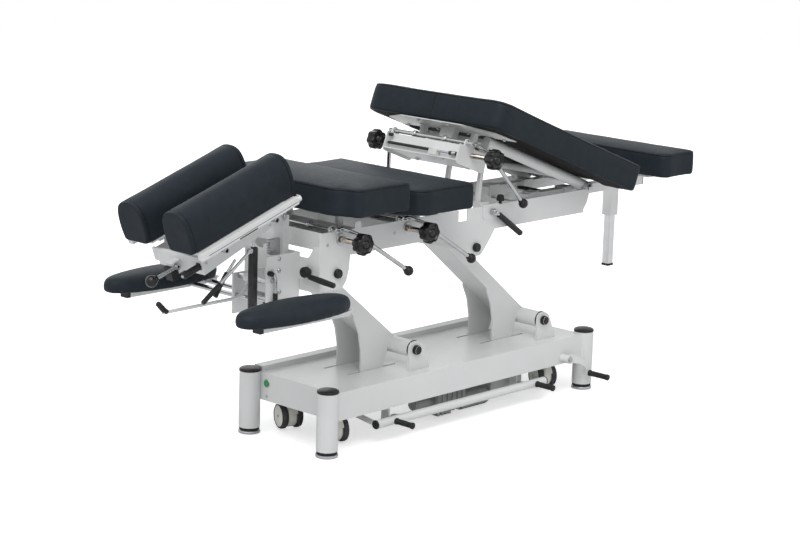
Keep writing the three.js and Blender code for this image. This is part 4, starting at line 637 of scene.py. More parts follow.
class Pad:
    """A soft piece: points in its own frame, faces, how firmly each point is held, its seam and its cords."""

    def __init__(self, name, place, body, node, fill):
        self.name, self.place, self.body, self.node, self.fill = name, place, body, node, fill
        self.points, self.held, self.faces, self.finishes = [], [], [], []
        self.seam, self.cords = [], []
        self.rise = self.spread = 0.0

    def add(self, x, y, z, held):
        self.points.append(Vector((x, y, z)))
        self.held.append(held)
        return len(self.points) - 1

    def quad(self, corners, finish_index=0):
        corners = list(dict.fromkeys(corners))
        if len(corners) > 2:
            self.faces.append(corners)
            self.finishes.append(finish_index)

    def band(self, low, high, finish_index=0):
        """Faces between two rows of points, where a row of one point is a pole."""
        count = max(len(low), len(high))
        for i in range(count):
            j = (i + 1) % count
            self.quad([low[i % len(low)], low[j % len(low)], high[j % len(high)], high[i % len(high)]],
                      finish_index)

    def sheet(self, loop, wide, long, height, held, finish_index, turned):
        """Fills a loop of points with a grid between its four sides."""
        total = len(loop)
        grid = {}
        for i in range(wide + 1):
            for j in range(long + 1):
                if j == 0:
                    grid[i, j] = loop[i]
                elif i == wide:
                    grid[i, j] = loop[wide + j]
                elif j == long:
                    grid[i, j] = loop[(2 * wide + long - i) % total]
                elif i == 0:
                    grid[i, j] = loop[(2 * wide + 2 * long - j) % total]
        a, b, c, d = (self.points[grid[k]] for k in ((0, 0), (wide, 0), (wide, long), (0, long)))
        base = self.points[loop[0]].z
        for i in range(1, wide):
            for j in range(1, long):
                u, v = i / wide, j / long
                p = (self.points[grid[i, 0]] * (1 - v) + self.points[grid[i, long]] * v
                     + self.points[grid[0, j]] * (1 - u) + self.points[grid[wide, j]] * u
                     - (a * (1 - u) * (1 - v) + b * u * (1 - v) + c * u * v + d * (1 - u) * v))
                dome = (1 - abs(2 * u - 1) ** 2.6) * (1 - abs(2 * v - 1) ** 2.6)
                grid[i, j] = self.add(p.x, p.y, base + height * dome, held)
        for i in range(wide):
            for j in range(long):
                corners = [grid[i, j], grid[i + 1, j], grid[i + 1, j + 1], grid[i, j + 1]]
                self.quad(corners[::-1] if turned else corners, finish_index)

    def make(self, makers):
        mesh = bpy.data.meshes.new(self.name)
        mesh.from_pydata([self.place @ p for p in self.points], [], self.faces)
        for maker in makers:
            mesh.materials.append(finish(maker))
        for polygon, index in zip(mesh.polygons, self.finishes):
            polygon.material_index = index
            polygon.use_smooth = True
        self.object = bpy.data.objects.new(self.name, mesh)
        bpy.context.scene.collection.objects.link(self.object)

    def settle(self):
        """Writes the points back to the mesh, subdivides it and puts it on its body."""
        for vertex, p in zip(self.object.data.vertices, self.points):
            vertex.co = self.place @ p
        surface = self.object.modifiers.new("Smooth cover", "SUBSURF")
        surface.levels = surface.render_levels = 1
        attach(self.object, self.body)
        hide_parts(self.node)


FILLING_FRAMES = 20


def inflate(pads):
    """Blows the pads up in one cloth simulation, and caps how far each point moves."""
    scene = bpy.context.scene
    for pad in pads:
        held = pad.object.vertex_groups.new(name="Held")
        for index, weight in enumerate(pad.held):
            if weight:
                held.add([index], weight, "REPLACE")
        cloth = pad.object.modifiers.new("Filling", "CLOTH")
        rule = cloth.settings
        rule.quality = 5
        rule.mass = 0.3
        rule.tension_stiffness = rule.compression_stiffness = 15
        rule.shear_stiffness = 6
        rule.bending_stiffness = 0.5
        rule.use_pressure = True
        rule.uniform_pressure_force = 4
        rule.vertex_group_mass = "Held"
        rule.effector_weights.gravity = 0
        cloth.collision_settings.use_collision = False
        cloth.point_cache.frame_start = 1
        cloth.point_cache.frame_end = FILLING_FRAMES
    for number in range(1, FILLING_FRAMES + 1):
        scene.frame_set(number)
    graph = bpy.context.evaluated_depsgraph_get()
    for pad in pads:
        swollen = [v.co.copy() for v in pad.object.evaluated_get(graph).data.vertices]
        back = pad.place.inverted()
        for index, world in enumerate(swollen):
            move = back @ world - pad.points[index]
            for k, most in ((0, pad.spread), (1, pad.spread), (2, pad.rise)):
                move[k] = most * math.tanh(move[k] / most)
            pad.points[index] += move
        pad.object.modifiers.clear()
        pad.object.vertex_groups.clear()
    scene.frame_set(1)


def wrinkle(pad, size, length, seed):
    """Small uneven swellings, as hand-pulled covers have."""
    for index, p in enumerate(pad.points):
        if pad.held[index] < 1:
            shift = noise.noise(Vector((p.x, p.y, p.z)) / length + Vector((seed, 0, 0)))
            p.z += shift * size
            p.x += noise.noise(Vector((p.y, p.z, p.x)) / length + Vector((0, seed, 0))) * size * 0.4
            p.y += noise.noise(Vector((p.z, p.x, p.y)) / length + Vector((0, 0, seed))) * size * 0.4


def stitched(pad, pitch):
    """A row of stitches along the seam of a pad."""
    lift, half_thread, half_share = 0.35, 0.55, 0.36
    build = Builder(pad.place)
    middle = sum(pad.points, Vector()) / len(pad.points)
    run = [pad.points[k] for k in (*pad.seam, pad.seam[0])]
    total = sum((b - a).length for a, b in zip(run, run[1:]))
    places = [*resampled(run, max(2, round(total / pitch))), run[-1]]
    for a, b in zip(places, places[1:]):
        along = (b - a) * half_share
        centre = (a + b) / 2
        out = centre - middle
        out.z *= 0.2
        out = (out - along * (out.dot(along) / along.length_squared)).normalized()
        centre = centre + out * lift
        side = along.cross(out).normalized() * half_thread
        up = out * half_thread
        ring = [build.point(centre + move) for move in (side, up, -side, -up)]
        build.skin([[build.point(centre - along)], ring, [build.point(centre + along)]])
    build.done(pad.name + "_stitches", pad.body, "upholstery", thread)


# The hollow and the notch below the pelvic cushion, measured from its knob shaft
HOLLOW_FOOT, HOLLOW_LENGTH, HOLLOW_DEPTH, HOLLOW_LEAST = 561, 489, 12, 2.5
NOTCH_HEAD, NOTCH_SLOPE_X, NOTCH_HALF, NOTCH_SLOPE_Y, NOTCH_DEPTH = 550, 45, 150, 40, 12


def sized_cushion(name, place, body, node, corners, under, rim, seam, top, sizes, recess_end=None, closed=False):
    """A table cushion: a board below, an upright boxing up to the seam, and a crowned top panel.

    A cushion with a recess end is hollowed from there to its foot edge; a closed one has a seam at its head end.
    """
    pad = Pad(name, place, body, node, 0.8)
    pad.rise, pad.spread = sizes.filling_rise, sizes.filling_spread
    loop, wide, long, middle, size = gridded_outline(dense_outline(corners, 4.0), sizes.pad_spacing, closed)

    def board(x):
        """The underside, hollowed over the tubes that the section drops towards."""
        if recess_end is None or x < recess_end:
            return under
        return under + max(HOLLOW_LEAST, HOLLOW_DEPTH * (HOLLOW_FOOT - x) / HOLLOW_LENGTH)

    def notch(x, y):
        """How far the foot edge is let in over the foot section's rails."""
        if recess_end is None:
            return 0
        along, across = (x - NOTCH_HEAD) / NOTCH_SLOPE_X, (NOTCH_HALF - abs(y)) / NOTCH_SLOPE_Y
        return NOTCH_DEPTH * min(1, max(0, along)) * min(1, max(0, across))

    crease = sizes.seam_crease
    head_seam = wide + long + wide // 2
    levels = [(18, None, 1), (11, None, 1), (9.2, rim + 1.6, 1), (6, rim, 1), (2.4, rim + 2.2, 0.9),
              (0.9, rim + 7, 0.5), (0.4, rim + 14, 0.2)]
    gap = seam - 9 - (rim + 14)
    count = max(1, round(gap / 14))
    levels += [(0.3, rim + 14 + gap * i / count, 0.1) for i in range(1, count)]
    levels += [(0.5, seam - 9, 0.3), (0.7, seam - 2.6, 0.9), (0.9 + crease, seam, 1), (1.2, seam + 2.2, 0.9),
               (4.0, seam + 5.0, 0.4), (9.5, seam + 7.0, 0.15), (17, seam + 8.2, 0)]
    rows = []
    for inset, level, held in levels:
        share_x, share_y = 1 - 2 * inset / size.x, 1 - 2 * inset / size.y
        row = []
        for k, p in enumerate(loop):
            x, y = middle.x + (p.x - middle.x) * share_x, middle.y + (p.y - middle.y) * share_y
            z = board(x) if level is None else level
            if z < seam - 30:
                z += notch(x, y)
            if level is not None and level < rim + 3:
                z += 1.1 * noise.noise(Vector((p.x / 17, p.y / 17, seam)))
            elif level is not None and level < seam and closed and k == head_seam:
                x += 2.2
            row.append(pad.add(x, y, z, held))
        rows.append(row)
        if len(rows) > 1:
            pad.band(rows[-2], rows[-1], 1 if len(rows) == 2 else 0)
    first = len(pad.points)
    pad.sheet(rows[0], wide, long, 0, 1, 1, True)
    for p in pad.points[first:]:
        p.z = board(p.x) + notch(p.x, p.y)
    pad.sheet(rows[-1], wide, long, max(0.5, top - seam - 8.2), 0, 0, False)
    pad.seam = rows[-4]
    pad.cords = [[*rows[-5], rows[-5][0]]]
    if closed:
        pad.cords.append([row[head_seam] for row in rows[3:-4]])
    return pad


HALF_WIDTH = 266.5


def table_corners(head, foot, chamfer_x, chamfer_y):
    """The plan of a drop section's cushion, its head corners cut off and rounded."""
    half, edge = HALF_WIDTH, 9.0
    return [
        (foot, -half, edge), (foot, half, edge),
        (head + chamfer_x, half, chamfer_x / 2), (head, half - chamfer_y, chamfer_x / 2),
        (head, -half + chamfer_y, chamfer_x / 2), (head + chamfer_x, -half, chamfer_x / 2),
    ]


# Half widths and heights of the face cushion's section, as shares of its size
FACE_SECTION = [
    (-0.8, 0), (0, 0), (0.8, 0), (0.93, 0.1), (1, 0.3), (1, 0.52), (0.93, 0.72), (0.76, 0.88), (0.45, 0.975),
    (0, 1), (-0.45, 0.975), (-0.76, 0.88), (-0.93, 0.72), (-1, 0.52), (-1, 0.3), (-0.93, 0.1),
]
# Distances from an end of the face cushion, and the share of its section there
FACE_STATIONS = [
    (1.6, 0.0), (1.2, 0.3), (0.8, 0.6), (0.5, 0.84), (0.5, 0.94), (1.4, 0.975), (3.6, 0.992), (7.5, 1.0),
    (11.6, 0.998), (13.4, 0.982), (15.2, 0.998), (20, 1.003), (29, 1.005), (41, 1.005),
]


def face_cushion(suffix, side):
    """A face cushion: a long D section with a welt near each flat end."""
    length, width, height, centre = 382.0, 102.0, 116.0, side * 90.0
    pad = Pad("face_cushion_" + suffix, HEAD, "head_half_" + suffix, "head_cushion_" + suffix, 0.9)
    pad.rise, pad.spread = 2.2, 2.0
    closed = [Vector((a, b, 0)) for a, b in FACE_SECTION]
    ring = smooth_path([*closed[-2:], *closed, *closed[:3]], 3)[6:6 + 3 * len(closed)]
    stations = FACE_STATIONS + [
        (a, 1.0) for a in (54 + 11 * i for i in range(26)) if a < length - 50
    ] + [(length - a, share) for a, share in reversed(FACE_STATIONS)]
    rows = []
    for along, share in stations:
        end = min(along, length - along)
        if share == 0:
            rows.append([pad.add(along, centre, height * 0.48, 1)])
            continue
        row = []
        for p in ring:
            y = centre + p.x * share * width / 2 * 0.985
            z = height * 0.48 + (p.y - 0.48) * height * share * 0.995
            held = 1.0 if p.y < 0.06 or end < 2 else 0.9 if abs(end - 13.4) < 1 else 0.6 if end < 9 else 0.0
            row.append(pad.add(along, y, max(z, 0.4), held))
        rows.append(row)
    for low, high in zip(rows, rows[1:]):
        pad.band(low, high)
    pad.cords = [[*rows[9], rows[9][0]], [*rows[-10], rows[-10][0]]]
    return pad


def corded(pad, name, radius, rise):
    """Piping laid along a pad's cords, each a run of its points; its near-black welt finish is painted shade of the
    seam's crease.
    """
    build = Builder(pad.place)
    middle = sum(pad.points, Vector()) / len(pad.points)
    for run in pad.cords:
        path = []
        for i, k in enumerate(run):
            here = pad.points[k]
            ahead = pad.points[run[min(i + 1, len(run) - 1)]] - pad.points[run[max(i - 1, 0)]]
            out = here - middle
            if abs(out.x) > abs(out.y):
                out.y *= 0.1
            out.z *= 0.05
            out = (out - ahead * (out.dot(ahead) / ahead.length_squared)).normalized()
            path.append(here + out * rise)
        build.tube(path, radius, 8, 1)
    build.done(pad.name + name, pad.body, "upholstery", welt_seam_shade)


def armrest_pad(suffix, side):
    """An armrest pad: an oval cushion, pulled unevenly to its staples below."""
    pad = Pad("armrest_cushion_" + suffix, DECK, "armrest_" + suffix, "armrest_pad_" + suffix, 0.75)
    pad.rise, pad.spread = 4.0, 2.0
    bottom = -62.8
    oval = []
    for angle in (2 * math.pi * i / 240 for i in range(240)):
        c, d = math.cos(angle), math.sin(angle)
        oval.append(Vector((-836 + 194 * math.copysign(abs(c) ** 0.92, c),
                            side * 266 + 68.5 * math.copysign(abs(d) ** 0.92, d))))
    loop, wide, long, middle, size = gridded_outline(oval, 8.0)
    levels = [(20, 0, 1), (11, 0.2, 1), (6, 1.8, 0.9), (3, 5.5, 0.5), (1.2, 11, 0.1), (0.4, 17, 0), (1.0, 23, 0),
              (3.2, 29, 0), (7.5, 34.5, 0), (14, 38.6, 0), (23, 41.4, 0)]
    rows = []
    for inset, level, held in levels:
        share_x, share_y = 1 - 2 * inset / size.x, 1 - 2 * inset / size.y
        row = []
        for k, p in enumerate(loop):
            pull = 0.0
            if 0 < level < 12:
                pull = 4.5 * noise.noise(Vector((p.x / 15, p.y / 15, side * 3.0)))
            row.append(pad.add(
                middle.x + (p.x - middle.x) * (share_x + pull / size.x),
                middle.y + (p.y - middle.y) * (share_y + pull / size.y), bottom + level, held))
        rows.append(row)
        if len(rows) > 1:
            pad.band(rows[-2], rows[-1])
    pad.sheet(rows[0], wide, long, 0, 1, 1, True)
    pad.sheet(rows[-1], wide, long, 6.5, 0, 0, False)
    return pad


class MakeUpholstery(bpy.types.Operator):
    """Makes the table cushions, face cushions and armrest pads, filled by a cloth simulation"""

    bl_idname = "table.upholstery"
    bl_label = "Upholstery"

    def execute(self, context):
        sizes = context.scene.table_sizes
        thoracic_pad = sized_cushion(
            "thoracic_pad", THORACIC, "thoracic_section", "thoracic_cushion",
            table_corners(-82, 151, 34, 80), 82, 79, 151.5, 168, sizes)
        lumbar_pad = sized_cushion(
            "lumbar_pad", LUMBAR, "lumbar_section", "lumbar_cushion",
            table_corners(-105, 150, 50, 75), 61, 55, 123, 139.5, sizes)
        pelvic_pad = sized_cushion(
            "pelvic_pad", PELVIC, "pelvic_section", "pelvic_cushion",
            [(638, -HALF_WIDTH, 9), (638, HALF_WIDTH, 9), (-62, HALF_WIDTH, 52), (-62, -HALF_WIDTH, 52)],
            78.6, 78.5, 154.5, 165, sizes, recess_end=67, closed=True)
        foot_pad = sized_cushion(
            "foot_pad", DECK, "foot_section", "foot_cushion",
            [(897, -266, 11), (897, 266, 11), (741, 266, 34), (741, -266, 34)], 139, 138.8, 208, 218, sizes)
        table_pads = [thoracic_pad, lumbar_pad, pelvic_pad, foot_pad]
        face_pads = [face_cushion(suffix, side) for suffix, side in SIDES]
        arm_pads = [armrest_pad(suffix, side) for suffix, side in SIDES]
        pads = table_pads + face_pads + arm_pads
        for pad in pads:
            pad.make((vinyl, underside_cloth))
        inflate(pads)
        for seed, pad in enumerate(pads):
            wrinkle(pad, 0.5, 60.0, seed * 7.3)
            pad.settle()
        for pad in table_pads:
            stitched(pad, sizes.stitch_pitch)
            # Seam cords and piping, finished near black as painted shade of the seam's crease.
            corded(pad, "_seam_cord", 1.5, 0.9)
        for pad in face_pads:
            corded(pad, "_piping", 1.4, 0.0)
        return {"FINISHED"}


# Painted steel and other frame parts that keep their shape


PAINTED = (
    "base_frame", "base_cover", "lift_arm_head", "lift_arm_foot", "top_frame", "thoracic_tray", "lumbar_tray",
    "pelvic_frame", "strut_clamp", "foot_rails", "head_guide", "head_post", "head_tray", "head_rail_near",
    "head_rail_far", "thoracic_plate", "lumbar_plate",
)
CARRIED = {**dict.fromkeys(PAINTED, powder_coat), "lift_actuator": grey_housing, "control_box": light_housing}


class DressCarriedParts(bpy.types.Operator):
    """Gives the frame's own sheet and tube parts their paint or plating, and eases their edges"""

    bl_idname = "table.carried_parts"
    bl_label = "Painted frame parts"

    def execute(self, context):
        edge = context.scene.table_sizes.edge_round
        for node, maker in CARRIED.items():
            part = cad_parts[node]
            for place in part.material_slots:
                place.material = finish(maker)
            weld = part.modifiers.new("Joined corners", "WELD")
            weld.merge_threshold = 0.00002
            flat = part.modifiers.new("Flat faces", "DECIMATE")
            flat.decimate_type = "DISSOLVE"
            flat.angle_limit = math.radians(1.5)
            bevel = part.modifiers.new("Eased edges", "BEVEL")
            bevel.width = edge / 1000
            bevel.segments = 2
            bevel.limit_method = "ANGLE"
            bevel.angle_limit = math.radians(50)
            bevel.harden_normals = False
            normals = part.modifiers.new("Flat shading", "WEIGHTED_NORMAL")
            normals.keep_sharp = False
            normals.weight = 60
        return {"FINISHED"}


# Base


class MakeColumns(bpy.types.Operator):
    """Makes the smooth skins of the four columns and their black caps"""

    bl_idname = "table.columns"
    bl_label = "Columns"

    def execute(self, context):
        skins, caps = Builder(BASE), Builder(BASE)
        for _, end, side in CORNERS:
            centre = (end * COLUMN_X, side * COLUMN_Y, 0)
            skins.lathe(centre, "Z", [(0, 17.05), (29.4, 17.05), (30.25, 17.9), (30.25, 182), (0, 182)], 56)
            caps.lathe(centre, "Z", [
                (0, 181.6), (30.6, 181.6), (31.0, 182.2), (31.0, 186.6), (30.2, 188.2), (28.0, 189.6),
                (22.5, 191.6), (14, 192.9), (0, 193.6)], 56)
        skins.done("column_skins", "base", "white_powder_coat", powder_coat)
        caps.done("column_caps", "base", "black_plastic", moulded_plastic)
        return {"FINISHED"}


class MakeLevellingFeet(bpy.types.Operator):
    """Makes the four levelling feet, each a steel disc with a rubber collar on a threaded stem"""

    bl_idname = "table.levelling_feet"
    bl_label = "Levelling feet"

    def execute(self, context):
        for suffix, end, side in CORNERS:
            centre = (end * COLUMN_X, side * COLUMN_Y, 0)
            disc = Builder(BASE)
            disc.lathe(centre, "Z", [
                (0, 0), (29.5, 0), (31.2, 0.8), (31.5, 2.2), (31.5, 6.6), (30.8, 8.2), (28.5, 9.0),
                (20, 9.4), (8, 9.6), (8, 16), (0, 16)], 48)
            disc.done("levelling_disc_" + suffix, "base", "zinc_plate", zinc,
                      replaces=("levelling_foot_" + suffix,))
            ring = Builder(BASE)
            ring.lathe(centre, "Z", [
                (0, 9.5), (27.6, 9.5), (28.8, 10.3), (29.2, 12.6), (28.8, 15.6), (27.4, 16.6), (0, 16.7)], 48)
            ring.done("levelling_collar_" + suffix, "base", "black_rubber", grip_rubber)
        return {"FINISHED"}


class MakeBaseTrim(bpy.types.Operator):
    """Makes the pivot caps on the base's ears, the push button and the screws of the cover"""

    bl_idname = "table.base_trim"
    bl_label = "Base trim"

    def execute(self, context):
        caps = Builder(BASE)
        for x in LOWER_PIVOTS.values():
            for _, side in SIDES:
                caps.lathe((x, side * 137.05, LOWER_PIVOT_Z), outward(side), [
                    (0, 0), (13.6, 0), (14.1, 1), (14.1, 9.6), (13.4, 12), (11.4, 13.9), (0, 14.2)], 12, 0.26)
        caps.done("ear_caps", "base", "black_plastic", moulded_plastic, edge=0.5)
        push = (-535, 109, 149)
        bezel = Builder(BASE)
        bezel.lathe(push, "-X", [
            (0, -1), (12.4, -1), (12.4, 0.8), (11.6, 1.6), (9.6, 1.6), (9.2, 0.6), (0, 0.6)], 32)
        for x, y, z in ((-535, 108, 112), (-535, -108, 130), (535, 108, 130), (535, -108, 130)):
            bezel.screw((x, y, z), "X" if x > 0 else "-X", 4.2)
        bezel.done("cover_screws", "base", "zinc_plate", zinc)
        button = Builder(BASE)
        button.lathe(push, "-X", [
            (0, 0), (8.8, 0), (8.8, 3.4), (8, 4.6), (5, 5.2), (0, 5.3)], 32)
        button.done("push_button", "base", "black_plastic", button_plastic)
        return {"FINISHED"}


WHEEL_INNER = 13.5
WHEEL_TREAD = [
    (28, 0.6), (35.4, 0.6), (37.2, 3.2), (37.5, 8.5), (37.1, 13.5), (35.4, 17.4), (32.4, 19.3), (31.2, 18.6),
    (30.9, 17)]
WHEEL_DISC = [
    (0, 0), (31.2, 0), (31.2, 17.6), (28.5, 18.5), (18, 19.4), (6.5, 19.8), (5.9, 18.8), (0, 18.8)]


class MakeCastors(bpy.types.Operator):
    """Makes the four twin-wheel castors, each a fork with a hood and two wheels"""

    bl_idname = "table.castors"
    bl_label = "Castors"

    def execute(self, context):
        trail, axle = 15, 41
        hub = (0, trail, axle)

        def arc(radius, steps):
            """Part of a circle round the axle, over the wheels."""
            angles = (math.radians(8 + 14 * i) for i in steps)
            return [(radius * math.cos(a) + trail, radius * math.sin(a) + axle) for a in angles]

        for suffix, end, side in CORNERS:
            place = within(BASE, end * 455, side * 93, 0, -20, "Z")
            fork = Builder(place)
            fork.bar(hub, "X", -13.1, 13.1, 32.6, 48, 2.5)
            fork.slab(arc(41, range(12)) + arc(38.4, range(11, -1, -1)), "X", -13.1, 13.1)
            fork.lathe((0, 0, 0), "Z", [
                (0, 60), (16.5, 66), (15.2, 76), (13.4, 84), (13.0, 90.2), (12.2, 91.5), (0, 91.6)], 32)
            fork.bar((0, 0, 0), "Z", 91, 99.6, 6, 20)
            fork.done("castor_hood_" + suffix, "castor_" + suffix, "castor_plastic", castor_nylon,
                      replaces=("castor_fork_" + suffix,), edge=0.7)
            wheels = Builder(place)
            for direction in ("-X", "X"):
                for number, (profile, sides) in enumerate(((WHEEL_TREAD, 56), (WHEEL_DISC, 40))):
                    wheels.finish = number
                    wheels.lathe(hub, direction, [(r, WHEEL_INNER + out) for r, out in profile], sides)
            wheels.finish = 2
            wheels.bar(hub, "X", -34, 34, 4.6, 20)
            wheels.done("castor_twin_wheels_" + suffix, "wheels_" + suffix, "black_rubber",
                        tread_rubber, castor_nylon, zinc, replaces=("castor_wheels_" + suffix,))
        return {"FINISHED"}


class MakeFootBar(bpy.types.Operator):
    """Makes the foot bar on its hanging arms, with its end caps and two pegs"""

    bl_idname = "table.foot_bar"
    bl_label = "Foot bar"

    def execute(self, context):
        y, z, hinge_y, hinge_z = -170, 59, -135, 50
        hangers, pegs = (-278, 268), (-305, 310)
        bar = Builder(BASE)
        bar.bar((0, y, z), "X", -375, 358, 12.5, 40, 0.8)
        arm = rounded([(y - 4, z + 11, 4), (y - 4, z - 11, 4), (hinge_y + 11, hinge_z - 11, 11),
                       (hinge_y + 11, hinge_z + 11, 11)])
        for x in hangers:
            bar.slab(arm, "X", x + 6.4, x + 14)
        for x in pegs:
            bar.bar((x, 0, z), "Y", y - 14, y, 7.2, 28)
        bar.loft([
            [(x, y + 4, z - 7), (x, hinge_y + 66, z + 6), (x, hinge_y + 66, z + 20), (x, y + 4, z + 7)]
            for x in (-374, -367)])
        bar.done("foot_bar_tube", "foot_bar", "white_powder_coat", powder_coat, replaces=("foot_bar",), edge=0.8)
        caps = Builder(BASE)
        for x, direction in ((-375, "-X"), (358, "X")):
            caps.lathe((x, y, z), direction, [
                (0, -0.5), (12.9, -0.5), (13.2, 0), (13.2, 1.6), (12.2, 3.2), (8, 4.2), (0, 4.6)], 36)
        for x in pegs:
            caps.lathe((x, 0, z), "-Y", [
                (0, 182), (9.2, 182), (9.6, 183), (9.6, 186), (8.3, 188), (8.3, 240), (9.6, 243), (9.4, 247),
                (7, 249), (0, 249.4)], 32)
        caps.done("foot_bar_grips", "foot_bar", "black_rubber", grip_rubber)
        bolts = Builder(BASE)
        for x in hangers:
            bolts.bolt((x + 14, hinge_y, hinge_z), "X", 6.2)
            bolts.bolt((x + 14, y + 6, z - 1), "X", 4.2, False)
        bolts.done("foot_bar_bolts", "foot_bar", "zinc_plate", zinc, edge=0.3)
        return {"FINISHED"}


class MakeCastorPedal(bpy.types.Operator):
    """Makes the castor pedal: a curved lever on its boss, with a rubber grip"""

    bl_idname = "table.castor_pedal"
    bl_label = "Castor pedal"

    def execute(self, context):
        place = within(BASE, 436, 0, 118)
        near, far, skirt = -204.4, -196.4, -172.4
        peg = (97, 0, -58)
        top, below = [], []
        for i in range(17):
            t = i / 16
            a, b, c, d = (1 - t) ** 3, 3 * t * (1 - t) ** 2, 3 * t * t * (1 - t), t ** 3
            top.append((b * 48.5 + c * 107 + d * 107, a * 13 + b * 13 - c * 29 - d * 58))
            below.append((b * 32 + c * 87 + d * 87, -a * 13 - b * 13 - c * 29 - d * 58))
        tip = [(97 + 10 * math.cos(a), -58 + 10 * math.sin(a)) for a in (-math.pi * i / 8 for i in range(1, 8))]
        heel = [(13 * math.cos(a), 13 * math.sin(a)) for a in (-math.pi / 2 - math.pi * i / 8 for i in range(1, 8))]
        pedal = Builder(place)
        pedal.slab([*top, *tip, *reversed(below), *heel], "Y", near, far)
        pedal.bar((0, 0, 0), "Y", near + 0.5, skirt, 13, 36, 1)
        pedal.bar((0, 0, 0), "Y", skirt, -125.4, 8, 24)
        pedal.bar(peg, "Y", -216, far, 7, 24)
        pedal.done("castor_pedal_lever", "castor_pedal", "white_powder_coat", powder_coat,
                   replaces=("castor_pedal",), edge=1.2)
        grip = Builder(place)
        grip.lathe(peg, "-Y", [
            (0, 206), (9.4, 206), (9.8, 207), (9.8, 210), (8.5, 212), (8.5, 272), (9.6, 275), (9.2, 279), (6, 280.4),
            (0, 280.6)], 32)
        grip.done("castor_pedal_grip", "castor_pedal", "black_rubber", grip_rubber)
        bolt = Builder(place)
        bolt.bolt((0, near + 0.5, 0), "-Y", 7)
        bolt.done("castor_pedal_bolt", "castor_pedal", "zinc_plate", zinc, edge=0.3)
        return {"FINISHED"}


class MakeLiftDrive(bpy.types.Operator):
    """Makes the round motor shell, the screws and the gland of the lift drive"""

    bl_idname = "table.lift_drive"
    bl_label = "Lift drive"

    def execute(self, context):
        shell = Builder(BASE)
        shell.lathe((0, -92, 35), "X", [
            (0, 54), (26.5, 54), (28.4, 56), (28.4, 84), (27.6, 84.6), (27.6, 87), (28.4, 87.6), (28.4, 160),
            (27, 166), (22, 170), (20, 170), (19, 168.6), (0, 168.6)], 48)
        for x in (-66, -50, -34, -18):
            shell.block((x, -123, 14), (x + 9, -70, 30))
        shell.done("motor_shell", "base", "grey_housing", grey_housing)
        screws = Builder(BASE)
        for x in (-68, 48):
            for z in (30, 84):
                screws.screw((x, -124.2, z), "-Y", 3.4)
        for x in (190, 310):
            for z in (40, 89):
                screws.screw((x, -113.1, z), "-Y", 2.6)
        screws.done("drive_screws", "base", "zinc_plate", zinc)
        return {"FINISHED"}


class MakeLiftPivots(bpy.types.Operator):
    """Makes the smooth cross tubes of both lift arms and the caps of their upper pivots"""

    bl_idname = "table.lift_pivots"
    bl_label = "Lift pivots"

    def execute(self, context):
        for name, _ in ENDS:
            lower, upper = (LOWER_PIVOTS[name], 0, LOWER_PIVOT_Z), (UPPER_PIVOTS[name], 0, UPPER_PIVOT_Z)
            tubes = Builder(BASE)
            tubes.bar(lower, "Y", -128.4, 128.4, 24.25, 48, 0.8)
            tubes.bar(upper, "Y", -145.4, 145.4, 22.25, 48, 0.8)
            tubes.done("cross_tubes_" + name, name + "_arm", "white_powder_coat", powder_coat)
            rings = Builder(BASE)
            for _, side in SIDES:
                rings.bar(lower, "Y", side * 125.5, side * 128.6, 26, 40)
                rings.bar(upper, "Y", side * 142.4, side * 145.6, 24, 40)
            rings.done("pivot_washers_" + name, name + "_arm", "black_plastic", moulded_plastic)
        caps = Builder(BASE)
        for x in UPPER_PIVOTS.values():
            for _, side in SIDES:
                caps.lathe((x, side * 150.05, UPPER_PIVOT_Z), outward(side), [
                    (0, 0), (12.6, 0), (13.2, 1), (13.2, 8.6), (12.4, 10.8), (10.4, 12.6), (0, 12.9)], 12, 0.26)
        caps.done("upper_pivot_caps", "top", "black_plastic", moulded_plastic, edge=0.5)
        return {"FINISHED"}


# Drop sections


Unit = namedtuple("Unit", "name place body lever_fall underside")
UNITS = (
    Unit("thoracic", THORACIC, "top", 142, 82),
    Unit("lumbar", LUMBAR, "top", 141, 61),
    Unit("pelvic", PELVIC, "pelvic_frame", 106, 77.6),
)

# A star knob's rings: distance from the table's middle, radius and depth of its lobes
KNOB_RINGS = (
    (220.6, 20, 0.02), (221.2, 26.2, 0.06), (222.6, 29.6, 0.075), (225, 31, 0.08), (243, 31, 0.07),
    (246.8, 30.2, 0.065), (249, 28, 0.05), (249.6, 25.8, 0.03), (248.6, 24.2, 0.01), (243.6, 22.8, 0.0),
    (242.4, 20.8, 0.0), (242.6, 12.2, 0.0), (244, 10.8, 0.0), (247.2, 9.8, 0.0), (248, 8.6, 0.0), (248.2, 3.0, 0.0),
)


class MakeKnobs(bpy.types.Operator):
    """Makes the lobed tension knobs on their shafts, one pair for each drop section"""

    bl_idname = "table.knobs"
    bl_label = "Tension knobs"

    def lobed(self, y, size, lobes, depth):
        """A ring of points whose radius rises and falls with the lobes."""
        count = lobes * 12
        ring = []
        for i in range(count):
            angle = 2 * math.pi * i / count
            wave = math.cos(lobes * angle)
            wave = (abs(wave) ** 0.8) * (1 if wave > 0 else -1)
            radius = size * (1 - depth + depth * wave)
            ring.append((radius * math.cos(angle), y, radius * math.sin(angle)))
        return ring

    def execute(self, context):
        lobes = context.scene.table_sizes.knob_lobes
        for unit in UNITS:
            knobs = Builder(unit.place)
            for _, side in SIDES:
                knobs.lathe((0, 0, 0), outward(side), [
                    (0, 205), (12.4, 205), (13.6, 206.2), (13.4, 211), (13.8, 216), (17, 222), (0, 222)], 36)
                knobs.loft([self.lobed(side * y, size, lobes, depth) for y, size, depth in KNOB_RINGS])
            knobs.finish = 1
            knobs.bar((0, 0, 0), "Y", -206, 206, 7.2, 28)
            if unit.name != "pelvic":
                for _, side in SIDES:
                    knobs.bar((0, 0, 0), "Y", side * 156, side * 163, 10.5, 6)
            knobs.done(unit.name + "_star_knobs", unit.name + "_knobs", "black_plastic", gloss_plastic,
                       warm_chrome, replaces=(unit.name + "_knob",), angle=50)
        return {"FINISHED"}


